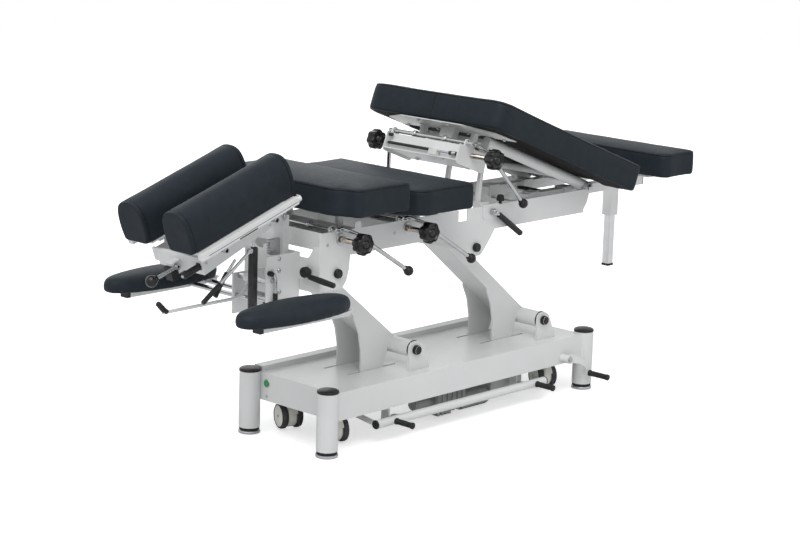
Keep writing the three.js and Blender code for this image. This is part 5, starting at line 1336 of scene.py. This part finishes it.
class MakeCockingLevers(bpy.types.Operator):
    """Makes the bent cocking levers with their balls, shafts and cams"""

    bl_idname = "table.cocking_levers"
    bl_label = "Cocking levers"

    def execute(self, context):
        reach, radius, ball = 260, 6, 14.3
        for name, unit, _, fall, _ in UNITS:
            place = within(unit, -30, 0, 30)

            def at(along, down, y):
                return along * reach, -y, -down * fall

            end = at(1, 1, 190)
            rod = Builder(place)
            rod.tube([(0, -158, 0), (9, -160, 1), at(0.1, -0.01, 165), at(0.25, 0.13, 188), at(0.4, 0.32, 190),
                      at(0.7, 0.66, 190), end], radius, 20, 10)
            rod.bar((0, 0, 0), "Y", -163.6, 163.6 if name == "pelvic" else 151.4, 6.1, 24)
            for _, side in SIDES:
                rod.lathe((0, side * 60, 0), "Y", [
                    (0, -6), (10.4, -6), (11, -5.2), (11, 5.2), (10.4, 6), (0, 6)], 28)
                rod.bar((0, 0, 0), "Y", side * 146.6, side * 150.6, 8.6, 24)
            balls = Builder(place)
            balls.ball(end, ball)
            balls.lathe(Vector(end) + Vector((-13.2, 0, 13.2 * fall / reach * 1.15)),
                        Vector((reach * 0.6, 0, -fall * 0.68)), [(0, -3), (8, -3), (8.6, -2), (9.4, 3), (0, 3)], 24)
            if name == "pelvic":
                angle = math.radians(PELVIC_TILT)
                tip = (150 * math.sin(angle), 165.15, -150 * math.cos(angle))
                rod.tube([(0, 158, 0), (tip[0] / 2, 164.4, tip[2] / 2), tip], radius, 20, 10)
                balls.ball(tip, ball)
            rod.done(name + "_lever_rod", name + "_lever", "chrome_plate", chrome, replaces=(name + "_lever",))
            balls.done(name + "_lever_ball", name + "_lever", "black_plastic", gloss_plastic)
        return {"FINISHED"}


class MakeSectionHardware(bpy.types.Operator):
    """Makes the bushes, bolts, post sleeves and rods of the drop sections"""

    bl_idname = "table.section_hardware"
    bl_label = "Drop section hardware"

    def execute(self, context):
        bushes = Builder(DECK)
        for x in SHAFT_XS.values():
            for _, side in SIDES:
                bushes.lathe((x, 0, SHAFT_Z), outward(side), [
                    (7.6, 146.5), (13.2, 146.5), (13.2, 150.2), (16.4, 150.2), (17, 150.8), (17, 152.4),
                    (16.2, 153.2), (8.2, 153.2), (7.6, 152.6), (7.6, 146.5)], 36)
        bushes.done("shaft_bushes", "top", "zinc_plate", zinc)
        for name, place, _, _, underside in UNITS:
            plate = underside - 3.5
            screws = Builder(place)
            for x, y in ((-38, 60), (58, 60), (70, 190)):
                for _, side in SIDES:
                    screws.bolt((x, side * y, plate + 0.05), (0, 0, -1), 4.6)
            screws.done(name + "_plate_screws", name + "_section", "zinc_plate", zinc, edge=0.3)
            sleeves = Builder(place)
            for _, side in SIDES:
                post = (42, side * 100, 0)
                sleeves.bar(post, "Z", 30 if name != "pelvic" else 19, plate, 11.5, 28)
                sleeves.bar(post, "Z", plate - 3, plate, 17, 28)
            sleeves.done(name + "_post_sleeves", name + "_section", "zinc_plate", powder_coat)
        for name, place, body, _, _ in UNITS:
            rods = Builder(place)
            for x in (-50, 20):
                rods.bar((x, 0, -10), "Y", -141, 141, 3.6, 16)
                if name != "pelvic":
                    for _, side in SIDES:
                        rods.bolt((x, side * 145.7, -10), outward(side), 5.2)
            for y in (80, -120):
                rods.bolt((30, y, -29), "-Z", 6.2)
            rods.finish = 1
            rods.block((-56, -62, -24), (-42, -30, -7))
            rods.block((12, 8, -22), (28, 32, -2))
            rods.done(name + "_tray_rods", body, "zinc_plate", zinc, white_nylon, edge=0.4)
        return {"FINISHED"}


class MakePelvicHardware(bpy.types.Operator):
    """Makes the smooth tubes, barrels and bolts of the tilting pelvic frame"""

    bl_idname = "table.pelvic_hardware"
    bl_label = "Pelvic frame hardware"

    def execute(self, context):
        tubes = Builder(PELVIS)
        for _, side in SIDES:
            tubes.bar((0, side * 124, 6), "X", -489.4, 29.8, 16.2, 40, 0.8)
            tubes.bar((0, 0, 0), "Y", side * 108.5, side * 145.4, 15.2, 40, 0.8)
        tubes.bar((-120, 0, 6), "Y", -124, 124, 11.2, 32)
        tubes.done("pelvic_tubes", "pelvic_frame", "white_powder_coat", powder_coat)
        rod = Builder(PELVIS)
        rod.bar((20, 0, 14), "Y", -118, 118, 5.15, 24)
        for _, side in SIDES:
            rod.bolt((-22, side * 112, -8), "-Z", 4.4)
        rod.done("pelvic_drop_rod", "pelvic_frame", "zinc_plate", zinc, edge=0.3)
        caps = Builder(DECK)
        for _, side in SIDES:
            caps.bolt((PELVIC_HINGE[0], side * 150.05, PELVIC_HINGE[2]), outward(side), 8.4)
        caps.done("hinge_bolts", "top", "zinc_plate", zinc, edge=0.4)
        return {"FINISHED"}


class MakePelvicTray(bpy.types.Operator):
    """Makes the pelvic section's open tray, its head wall let in behind the rods, and the plate on its posts"""

    bl_idname = "table.pelvic_tray"
    bl_label = "Pelvic tray"

    def execute(self, context):
        head, foot, floor, top, inner, outer = -59, 71, -29, 21, 141.6, 145.6
        end = rounded([(head, top), (head, -36, 12), (foot, -36, 12), (foot, top), (-8, top), (-19, 41, 11),
                       (-41, 41, 11), (-41, top)], 5)
        tray = Builder(PELVIC)
        tray.block((head, -inner, floor), (foot, inner, floor + 3))
        tray.block((-38, -inner, floor + 3), (-35, inner, top))
        tray.block((foot - 3, -inner, floor + 3), (foot, inner, top))
        for _, side in SIDES:
            tray.slab(end, "Y", side * inner, side * outer)
            tray.block((foot - 3, side * 124 - 16, top - 1), (foot, side * 124 + 16, 60))
            tray.bar((42, side * 100, 0), "Z", floor, 8, 15)
        tray.done("pelvic_open_tray", "pelvic_frame", "white_powder_coat", powder_coat,
                  replaces=("pelvic_tray",), edge=0.8)
        plate = Builder(PELVIC)
        plate.slab(rounded([(65, -145, 2), (65, 145, 2), (81, 147, 3), (83, 226, 3), (0, 212, 6), (-52, 120, 6),
                            (-52, -120, 6), (0, -212, 6), (83, -226, 3), (81, -147, 3)]), "Z", 74.2, 77.2)
        for _, side in SIDES:
            plate.bar((42, side * 100, 0), "Z", -12, 76, 8)
        plate.block((8, -46, 27), (11, 4, 75))
        plate.block((11, -46, 27), (34, -43, 75))
        plate.done("pelvic_drop_plate", "pelvic_section", "zinc_plate", powder_coat, replaces=("pelvic_plate",),
                   edge=0.6)
        fittings = Builder(PELVIC)
        fittings.bar((-50, 0, -10), "Y", -40, 136, 4.6, 20)
        for start in (-116, -140):
            fittings.bar((-50, 0, -10), "Y", start, start + 10, 6.4, 6)
        fittings.bar((-50, 0, 14), "Y", 128, 141, 5, 20)
        fittings.finish = 1
        coil, turn_steps, turns, rise = 5.6, 12, 7, 0.17
        fittings.tube([
            (-50 + coil * math.cos(a), -131 + rise * k, -10 + coil * math.sin(a))
            for k, a in ((k, 2 * math.pi * k / turn_steps) for k in range(turns * turn_steps))], 1.1, 8, 1)
        fittings.screw((-50, -90, floor), "-Z", 5)
        fittings.done("pelvic_tray_fittings", "pelvic_frame", "black_plastic", black_steel, zinc)
        return {"FINISHED"}


class MakeStrutClamp(bpy.types.Operator):
    """Makes the handle of the strut clamp, its ring and bolt, and the two rubber buffers"""

    bl_idname = "table.strut_clamp"
    bl_label = "Strut clamp"

    def execute(self, context):
        place = within(DECK, 61, 0, 99)
        y = -163.8
        bend, end = Vector((17, y, -7)), Vector((123, y, -78.5))
        start = bend.lerp(end, 0.05)
        rod = Builder(place)
        rod.tube([(0, y, 0), (8, y, -1.5), tuple(bend), tuple(start.lerp(end, 0.5))], 5, 20, 10)
        rod.lathe((0, y, 0), "Y", [(0, -8), (9.4, -8), (10, -7.2), (10, 7.2), (9.4, 8), (0, 8)], 28)
        rod.bolt((0, y - 8, 0), "-Y", 5.4)
        rod.done("clamp_handle_rod", "clamp_handle", "chrome_plate", chrome, replaces=("strut_clamp_handle",), edge=0.3)
        grip = Builder(place)
        along = (end - start).normalized()
        length = (end - start).length
        grip.lathe(start, along, [
            (0, 0), (7.2, 0), (8.6, 1.4), (8.0, 5), (8.6, 12), (9.2, length * 0.5), (8.8, length - 8),
            (9.0, length - 2.5), (7.4, length), (0, length + 0.4)], 28)
        grip.done("clamp_handle_grip", "clamp_handle", "black_plastic", moulded_plastic)
        for name, side in SIDES:
            buffer = Builder(within(DECK, 105, side * 148, 117.4))
            buffer.lathe((0, 0, 0), "Z", [
                (0, 0), (6.4, 0), (6.4, 1.6), (4, 1.8), (4, 8), (11.2, 8.2), (12, 9.4), (11.6, 14), (10.2, 22),
                (8.8, 25), (6, 26), (0, 26)], 32)
            buffer.done("tray_buffer_" + name, "top", "black_rubber", grip_rubber, replaces=("buffer_" + name,))
        return {"FINISHED"}


def upright(middle, half, low, high):
    """The rounded outline of a rectangular tube's end."""
    return rounded([(middle - half, low, 3), (middle + half, low, 3), (middle + half, high, 3),
                    (middle - half, high, 3)], 4)


class MakeFootSection(bpy.types.Operator):
    """Makes the telescopic leg, the end caps of the slide rails and the pad strip of the cross rail"""

    bl_idname = "table.foot_section"
    bl_label = "Foot section"

    def execute(self, context):
        leg = Builder(DECK)
        leg.slab(rounded([(805, -13, 3), (831, -13, 3), (831, 13, 3), (805, 13, 3)], 4), "Z", -183, 97)
        leg.done("leg_tube", "leg", "chrome_plate", satin_steel, replaces=("support_leg",))
        shoe = Builder(DECK)
        shoe.loft([
            [(818 + x * s, y * s, z) for x, y in rounded([(-16, -16, 4), (16, -16, 4), (16, 16, 4), (-16, 16, 4)], 4)]
            for z, s in ((-188, 0.84), (-187, 0.9), (-182, 0.9), (-180.6, 0.86))])
        shoe.done("leg_shoe", "leg", "black_rubber", grip_rubber)
        caps = Builder(DECK)
        for _, side in SIDES:
            caps.slab(upright(side * 80, 15.3, 85.7, 116.3), "X", 857.5, 861)
        caps.done("rail_end_caps", "foot_section", "black_plastic", moulded_plastic, edge=0.6)
        strip = Builder(DECK)
        strip.slab(rounded([(424, 96.6), (446, 96.6), (446, 104, 2), (424, 104, 2)]), "Y", -60, 60)
        strip.done("cross_rail_strip", "top", "black_rubber", grip_rubber)
        return {"FINISHED"}


# Head unit


class MakeHeadGuide(bpy.types.Operator):
    """Makes the cross rods, bolts, rack, crank and tilt barrel of the head unit's guide and post"""

    bl_idname = "table.head_guide"
    bl_label = "Head guide"

    def execute(self, context):
        rods = Builder(DECK)
        for x in (-742, -682):
            rods.bar((x, 0, -73), "Y", -282, 282, 7.4, 28)
        rods.bar((-732, 0, -18), "Y", -72.6, 65.6, 7.4, 28)
        rods.done("cross_rods", "top", "chrome_plate", chrome)
        bolts = Builder(DECK)
        for x, z in ((-710, 47), (-710, 15), (-708, -44)):
            bolts.screw((x, -73.1, z), "-Y", 6.2)
        for x, z in ((-736, 18), (-736, -10)):
            bolts.bolt((x, -73.1, z), "-Y", 4.2)
        for x, z in ((-655, -30), (-655, -60), (-735, -60)):
            bolts.bolt((x, 66.1, z), "Y", 5)
        bolts.done("guide_bolts", "top", "zinc_plate", zinc, edge=0.3)
        rack = Builder(DECK)
        back, root, tooth, pitch, low = -672.5, -707, -712.4, 7, 50
        teeth = [(back, 48)]
        for foot in (low + pitch * i for i in range(6)):
            teeth += [(root, foot), (tooth, foot + 2.4), (tooth, foot + 4.6)]
        teeth += [(root, 92), (back, 94)]
        rack.slab(teeth, "Y", -36.2, -23.8)
        rack.done("head_rack", "head_post", "zinc_plate", zinc, edge=0.3)
        crank = Builder(DECK)
        crank.tube([(-748, -80, 12), (-738, -80, 10), (-730, -80, 0), (-728, -80, -14), (-728, -80, -52)],
                   4.4, 16, 8)
        crank.done("head_crank", "top", "chrome_plate", chrome)
        grip = Builder(DECK)
        grip.lathe((-728, -80, 0), "-Z", [(0, 44), (5.4, 44), (6.6, 46), (6.6, 82), (5, 85), (0, 85.4)], 24)
        grip.lathe((-748, -80, 12), "-Y", [(0, -6), (6.4, -6), (7, -5), (7, 8), (6, 10), (0, 10.2)], 28)
        grip.done("head_crank_grip", "top", "black_plastic", moulded_plastic)
        barrel = Builder(DECK)
        barrel.bar(HEAD_PIVOT, "Y", -50.2, -9.8, 12.3, 36)
        barrel.done("tilt_barrel", "head_post", "white_powder_coat", powder_coat)
        return {"FINISHED"}


class MakeHeadTray(bpy.types.Operator):
    """Makes the carrier rods, screws, lip, handle and second lever of the head tray, and its rails' screws and painted
    groove shade
    """

    bl_idname = "table.head_tray"
    bl_label = "Head tray"

    def execute(self, context):
        handle = (-8, -84, -63)
        carriers = Builder(HEAD)
        for x in (100, 285):
            carriers.bar((x, 0, -30), "Y", -150, 150, 6.3, 24)
        carriers.done("carrier_rods", "head_tray", "chrome_plate", chrome)
        pins = Builder(HEAD)
        for _, side in SIDES:
            for x in (70, 305):
                pins.screw((x, side * 90.1, -62), outward(side), 4)
        pins.bolt(handle, "-X", 4.4, False)
        pins.bolt((384, -59.3, -81), "-Y", 7)
        pins.bolt((384, -0.2, -81), "Y", 7)
        pins.done("head_tray_screws", "head_tray", "zinc_plate", zinc, edge=0.3)
        lip = Builder(HEAD)
        lip.slab(rounded([(-99, -77, 8), (99, -77, 8), (99, -38, 5), (-99, -38, 5)]), "X", 50, 55.5)
        lip.done("head_tray_lip", "head_tray", "white_powder_coat", powder_coat, edge=1.0)
        blocks = Builder(HEAD)
        blocks.slab(rounded([(9, -101, 3), (34, -101, 3), (34, -62, 3), (9, -62, 3)]), "Y", -13, 13)
        blocks.lathe(handle, "X", [
            (0, 0), (6.4, 0), (8.6, 1), (9.2, 3), (9.2, 54), (8.4, 60), (6, 62), (0, 62.2)], 28)
        blocks.block((48, -90, -73), (56.5, -76, -53))
        blocks.done("head_tray_blocks", "head_tray", "black_plastic", moulded_plastic, edge=0.8)
        rod = Builder(DECK)
        rod.tube([(-860, -62, 62), (-876, -62, 44), (-893, -62, 26)], 4, 14)
        rod.done("second_lever_rod", "head_tray", "chrome_plate", chrome)
        grip = Builder(DECK)
        grip.tube([(-889, -62, 30), (-908, -62, 4), (-928, -62, -28)], 6.6, 20)
        grip.done("second_lever_grip", "head_tray", "black_plastic", moulded_plastic)
        for name, side in SIDES:
            self.rail_screw_and_groove_shade(name, side)
        return {"FINISHED"}

    def rail_screw_and_groove_shade(self, name, side):
        """A wing screw on the end of a cushion's rail, and thin black strips on its side that are painted shade
        standing in for its grooves.
        """
        screw = Builder(HEAD)
        screw.lathe((371, side * 140, -12), "X", [
            (0, 0), (4.4, 0), (4.4, 4), (6.4, 5), (6.4, 11), (5, 12.6), (0, 13)], 20)
        for wing in (-7.5, 7.5):
            screw.lathe((376, side * 140, -12 + wing), "X", [
                (0, 0), (3.6, 0), (5.2, 1.6), (5.2, 4.4), (3.6, 6), (0, 6)], 18)
        screw.done("rail_screw_" + name, "head_half_" + name, "zinc_plate", zinc, edge=0.4)
        # Black strips 0.3 mm proud of the rail: painted shade where the rail's grooves are, not cut grooves.
        groove = Builder(HEAD)
        inner, outer = sorted((side * 150.05, side * 150.05 + side * 0.3))
        groove.block((40, inner, -15.4), (366, outer, -14.2))
        groove.block((150, inner, -21.4), (215, outer, -18.4))
        groove.done("rail_groove_shade_" + name, "head_half_" + name, "black_plastic", moulded_plastic)


class MakeHeadLevers(bpy.types.Operator):
    """Makes the four hand levers of the head unit"""

    bl_idname = "table.head_levers"
    bl_label = "Head levers"

    def execute(self, context):
        self.drop_lever(within(HEAD, 31, 0, -66))
        self.release_lever(within(HEAD, 229, -78, -106))
        self.height_lever(within(DECK, -732, 24, -18))
        self.lock_lever(within(DECK, -632, -112, 1))
        return {"FINISHED"}

    def drop_lever(self, place):
        rod = Builder(place)
        rod.bar((0, 0, 0), "Y", -22.4, 12.4, 4.2, 20)
        rod.bar((0, 0, 0), "Y", -22.4, -12.6, 9, 28)
        rod.tube([(0, -17.4, 0), (-45, -17.4, 1), (-92, -17.4, 2)], 5, 18)
        rod.done("head_drop_rod", "ball_lever", "chrome_plate", chrome, replaces=("head_drop_lever",))
        ball = Builder(place)
        ball.ball((-92, -17.4, 2), 16, 36, 18)
        ball.lathe((-76, -17.4, 1.7), (-1, 0, 0.02), [(0, -3), (8, -3), (8.6, -2), (9.2, 2), (0, 2)], 24)
        ball.done("head_drop_ball", "ball_lever", "black_plastic", gloss_plastic)

    def release_lever(self, place):
        angle = math.radians(163)
        along = Vector((math.cos(angle), 0, -math.sin(angle)))
        rod = Builder(place)
        rod.bar((0, 0, 0), "Y", -5, 5, 6.5, 28)
        rod.tube([(0, 0, 0), along * 66, along * 133], 4.6, 18)
        rod.done("head_release_rod", "release_lever", "chrome_plate", chrome, replaces=("head_release_lever",))
        grip = Builder(place)
        grip.lathe(along * 128, along, [
            (0, 0), (5.4, 0), (6.4, 1.4), (6.1, 6), (6.6, 14), (6.9, 40), (6.6, 66), (6.8, 72), (5.4, 75.6), (0, 76)], 28)
        grip.done("head_release_grip", "release_lever", "black_plastic", moulded_plastic)

    def height_lever(self, place):
        rod = Builder(place)
        rod.bar((0, 0, 0), "Y", -10, 10, 12, 32)
        rod.tube([(0, 0, -6), (-10, 0, -26), (-24, 0, -42), (-50, 0, -51), (-120, 0, -52), (-286, 0, -53),
                  (-296, 0, -50)], 5, 18)
        rod.done("height_lever_rod", "height_lever", "white_powder_coat", powder_coat, replaces=("head_height_lever",))
        grip = Builder(place)
        grip.tube([(-290, 0, -53), (-299, 0, -47), (-309, 0, -37), (-320, 0, -26)],
                  lambda share: 7.2 + 0.8 * math.sin(math.pi * share), 24, 8)
        grip.done("height_lever_grip", "height_lever", "black_plastic", moulded_plastic)

    def lock_lever(self, place):
        lock = Builder(place)
        lock.lathe((0, 0, 7), "-X", [
            (0, 0.4), (8, 0.4), (8, 6), (13, 8), (15, 10.5), (15, 22), (13.6, 25.4), (9, 26.6), (0, 27)], 32)
        lock.tube([(-20, 0, 5), (-20, -22, -2)], 6, 24)
        lock.tube([(-20, -20, -2), (-14, -60, -8), (-8, -102, -14)],
                  lambda share: 7.6 + 0.9 * math.sin(math.pi * share), 28)
        lock.done("lock_grip", "lock_lever", "black_plastic", moulded_plastic, replaces=("head_lock_lever",))


class MakeGasSpring(bpy.types.Operator):
    """Makes the gas spring that carries the head unit's tilt"""

    bl_idname = "table.gas_spring"
    bl_label = "Gas spring"

    def execute(self, context):
        spring = Builder(within(DECK, -777, -42, 117))
        spring.lathe((0, 0, 0), "-Z", [
            (0, 34), (10, 34), (12.4, 35.6), (12.8, 38), (12.8, 201), (10.6, 206), (0, 207)], 36)
        spring.finish = 1
        spring.bar((0, 0, 0), "-Z", 6, 36, 4, 20)
        spring.lathe((0, 0, 0), "Y", [(4.8, -4), (9, -4), (9, 4), (4.8, 4), (4.8, -4)], 28)
        spring.bar((0, 0, 0), "-Z", 8, 17, 6, 6)
        spring.done("gas_spring_body", "gas_spring", "black_plastic", black_steel, chrome,
                    replaces=("head_gas_spring",))
        return {"FINISHED"}


class MakeArmrestTrim(bpy.types.Operator):
    """Makes the armrest rails and their end caps"""

    bl_idname = "table.armrest_trim"
    bl_label = "Armrest trim"

    def execute(self, context):
        for name, side in SIDES:
            y = side * 266
            rail, caps = Builder(DECK), Builder(DECK)
            rail.slab(upright(y, 15, -83, -63), "X", -957, -642)
            rail.slab(rounded([(-700, y - 40, 14), (-640, y - 28, 14), (-640, y + 28, 14), (-700, y + 40, 14)]),
                      "Z", -66, -63)
            rail.done("armrest_rail_" + name, "armrest_" + name, "white_powder_coat", powder_coat,
                      replaces=("armrest_" + name,), edge=0.8)
            caps.slab(upright(y, 15.4, -83.4, -62.6), "X", -968, -956.6)
            caps.done("armrest_rail_caps_" + name, "armrest_" + name, "black_plastic", moulded_plastic, edge=0.5)
        return {"FINISHED"}


# Stage


# The camera that took the photograph: its place in the base's frame, turns in degrees and focal length in pixels
CAMERA_PLACE = (-4629.4, -4259.4, 1782.3)
CAMERA_AZIMUTH, CAMERA_ELEVATION, CAMERA_ROLL = -46.66, 12.12, 1.69
FOCAL_PIXELS, PHOTO_WIDTH = 2184.51, 800
SENSOR_WIDTH = 36


class MakeStage(bpy.types.Operator):
    """Sets the camera at the photograph's angle, the lamps, the world and the pale floor"""

    bl_idname = "table.stage"
    bl_label = "Stage"

    def execute(self, context):
        scene = context.scene
        self.camera(scene)
        self.lamps(scene)
        self.world(scene)
        self.floor(scene)
        scene.view_settings.view_transform = "Standard"
        return {"FINISHED"}

    def camera(self, scene):
        """The photograph's viewing angle."""
        azimuth, elevation, roll = map(math.radians, (CAMERA_AZIMUTH, CAMERA_ELEVATION, CAMERA_ROLL))
        back = Vector((math.sin(azimuth) * math.cos(elevation), -math.cos(azimuth) * math.cos(elevation),
                       math.sin(elevation)))
        right = Vector((math.cos(azimuth), math.sin(azimuth), 0))
        up = back.cross(right)
        level = right * math.cos(roll) + up * math.sin(roll)
        upright = up * math.cos(roll) - right * math.sin(roll)
        turn = Matrix((level, upright, back)).transposed().to_4x4()
        camera = bpy.data.cameras.new("Camera")
        camera.sensor_width = SENSOR_WIDTH
        camera.lens = FOCAL_PIXELS / PHOTO_WIDTH * SENSOR_WIDTH
        camera.clip_end = 60
        holder = bpy.data.objects.new("Camera", camera)
        holder.matrix_world = Matrix.Translation(BASE @ Vector(CAMERA_PLACE)) @ turn
        scene.collection.objects.link(holder)
        scene.camera = holder

    def lamps(self, scene):
        """A soft sky and three large panels."""
        sun = bpy.data.lights.new("Sky panel", "SUN")
        sun.angle = math.radians(55)
        sun.energy = 1.75
        holder = bpy.data.objects.new("Sky panel", sun)
        holder.rotation_euler = (math.radians(12), math.radians(-28), 0)
        scene.collection.objects.link(holder)
        for name, place, size, power in (
                ("Key", (-2.6, -2.2, 4.2), 3.0, 52),
                ("Fill", (2.8, -3.6, 2.4), 3.2, 10),
                ("Rear", (1.8, 3.4, 2.8), 3.0, 22)):
            lamp = bpy.data.lights.new(name, "AREA")
            lamp.size = size
            lamp.energy = power
            holder = bpy.data.objects.new(name, lamp)
            holder.location = place
            aim = Vector((0, 0, 0.5)) - Vector(place)
            holder.rotation_euler = aim.to_track_quat("-Z", "Y").to_euler()
            scene.collection.objects.link(holder)

    def world(self, scene):
        """A dim studio that the camera, metal and glass see as white."""
        world = bpy.data.worlds.new("Studio")
        world.use_nodes = True
        nodes, links = world.node_tree.nodes, world.node_tree.links
        nodes.clear()
        ambient, white = nodes.new("ShaderNodeBackground"), nodes.new("ShaderNodeBackground")
        ambient.inputs["Color"].default_value = (0.97, 0.985, 1.0, 1)
        ambient.inputs["Strength"].default_value = 0.42
        white.inputs["Color"].default_value = (1, 1, 1, 1)
        white.inputs["Strength"].default_value = 1.0
        rays = nodes.new("ShaderNodeLightPath")
        seen = rays.outputs["Is Camera Ray"]
        for name in ("Is Glossy Ray", "Is Transmission Ray"):
            either = nodes.new("ShaderNodeMath")
            either.operation = "MAXIMUM"
            links.new(seen, either.inputs[0])
            links.new(rays.outputs[name], either.inputs[1])
            seen = either.outputs["Value"]
        mix, output = nodes.new("ShaderNodeMixShader"), nodes.new("ShaderNodeOutputWorld")
        links.new(seen, mix.inputs["Fac"])
        links.new(ambient.outputs["Background"], mix.inputs[1])
        links.new(white.outputs["Background"], mix.inputs[2])
        links.new(mix.outputs["Shader"], output.inputs["Surface"])
        scene.world = world

    def floor(self, scene):
        """A pale floor that keeps the table's shadow."""
        material = bpy.data.materials.new("pale_floor")
        material.use_nodes = True
        nodes, links = material.node_tree.nodes, material.node_tree.links
        shader = nodes["Principled BSDF"]
        shader.inputs["Base Color"].default_value = (0.86, 0.86, 0.87, 1)
        shader.inputs["Roughness"].default_value = 0.9
        shader.inputs["Specular IOR Level"].default_value = 0.1
        glow = nodes.new("ShaderNodeEmission")
        glow.inputs["Color"].default_value = (1, 1, 1, 1)
        rays = nodes.new("ShaderNodeLightPath")
        lift = nodes.new("ShaderNodeMath")
        lift.operation = "MULTIPLY"
        lift.inputs[1].default_value = 0.56
        links.new(rays.outputs["Is Camera Ray"], lift.inputs[0])
        links.new(lift.outputs["Value"], glow.inputs["Strength"])
        both = nodes.new("ShaderNodeAddShader")
        links.new(shader.outputs["BSDF"], both.inputs[0])
        links.new(glow.outputs["Emission"], both.inputs[1])
        links.new(both.outputs["Shader"], nodes["Material Output"].inputs["Surface"])
        half, below = 9.0, -0.0004
        mesh = bpy.data.meshes.new("floor")
        mesh.from_pydata(
            [(x, y, below) for x, y in ((-half, -half), (half, -half), (half, half), (-half, half))],
            [], [(0, 1, 2, 3)])
        mesh.materials.append(material)
        floor = bpy.data.objects.new("floor", mesh)
        scene.collection.objects.link(floor)


STEPS = (
    MakeStage, DressCarriedParts, MakeUpholstery, MakeColumns, MakeLevellingFeet, MakeBaseTrim, MakeCastors,
    MakeFootBar, MakeCastorPedal, MakeLiftDrive, MakeLiftPivots, MakeKnobs, MakeCockingLevers,
    MakeSectionHardware, MakePelvicHardware, MakePelvicTray, MakeStrutClamp, MakeFootSection, MakeHeadGuide,
    MakeHeadTray, MakeHeadLevers, MakeGasSpring, MakeArmrestTrim,
)


class TablePanel(bpy.types.Panel):
    """Lists the steps that dress the table"""

    bl_idname = "VIEW3D_PT_table"
    bl_label = "Chiropractic table"
    bl_space_type = "VIEW_3D"
    bl_region_type = "UI"
    bl_category = "Table"

    def draw(self, context):
        layout = self.layout
        for settings in (context.scene.table_finishes, context.scene.table_sizes):
            box = layout.box()
            for name in settings.__annotations__:
                box.prop(settings, name)
        for step in STEPS:
            layout.operator(step.bl_idname)


CLASSES = (TableFinishes, TableSizes, *STEPS, TablePanel)


def register():
    for item in CLASSES:
        bpy.utils.register_class(item)
    bpy.types.Scene.table_finishes = PointerProperty(type=TableFinishes)
    bpy.types.Scene.table_sizes = PointerProperty(type=TableSizes)


def unregister():
    del bpy.types.Scene.table_sizes
    del bpy.types.Scene.table_finishes
    for item in reversed(CLASSES):
        bpy.utils.unregister_class(item)


def main():
    register()
    for step in STEPS:
        group, name = step.bl_idname.split(".")
        getattr(getattr(bpy.ops, group), name)()


if __name__ == "__main__":
    main()
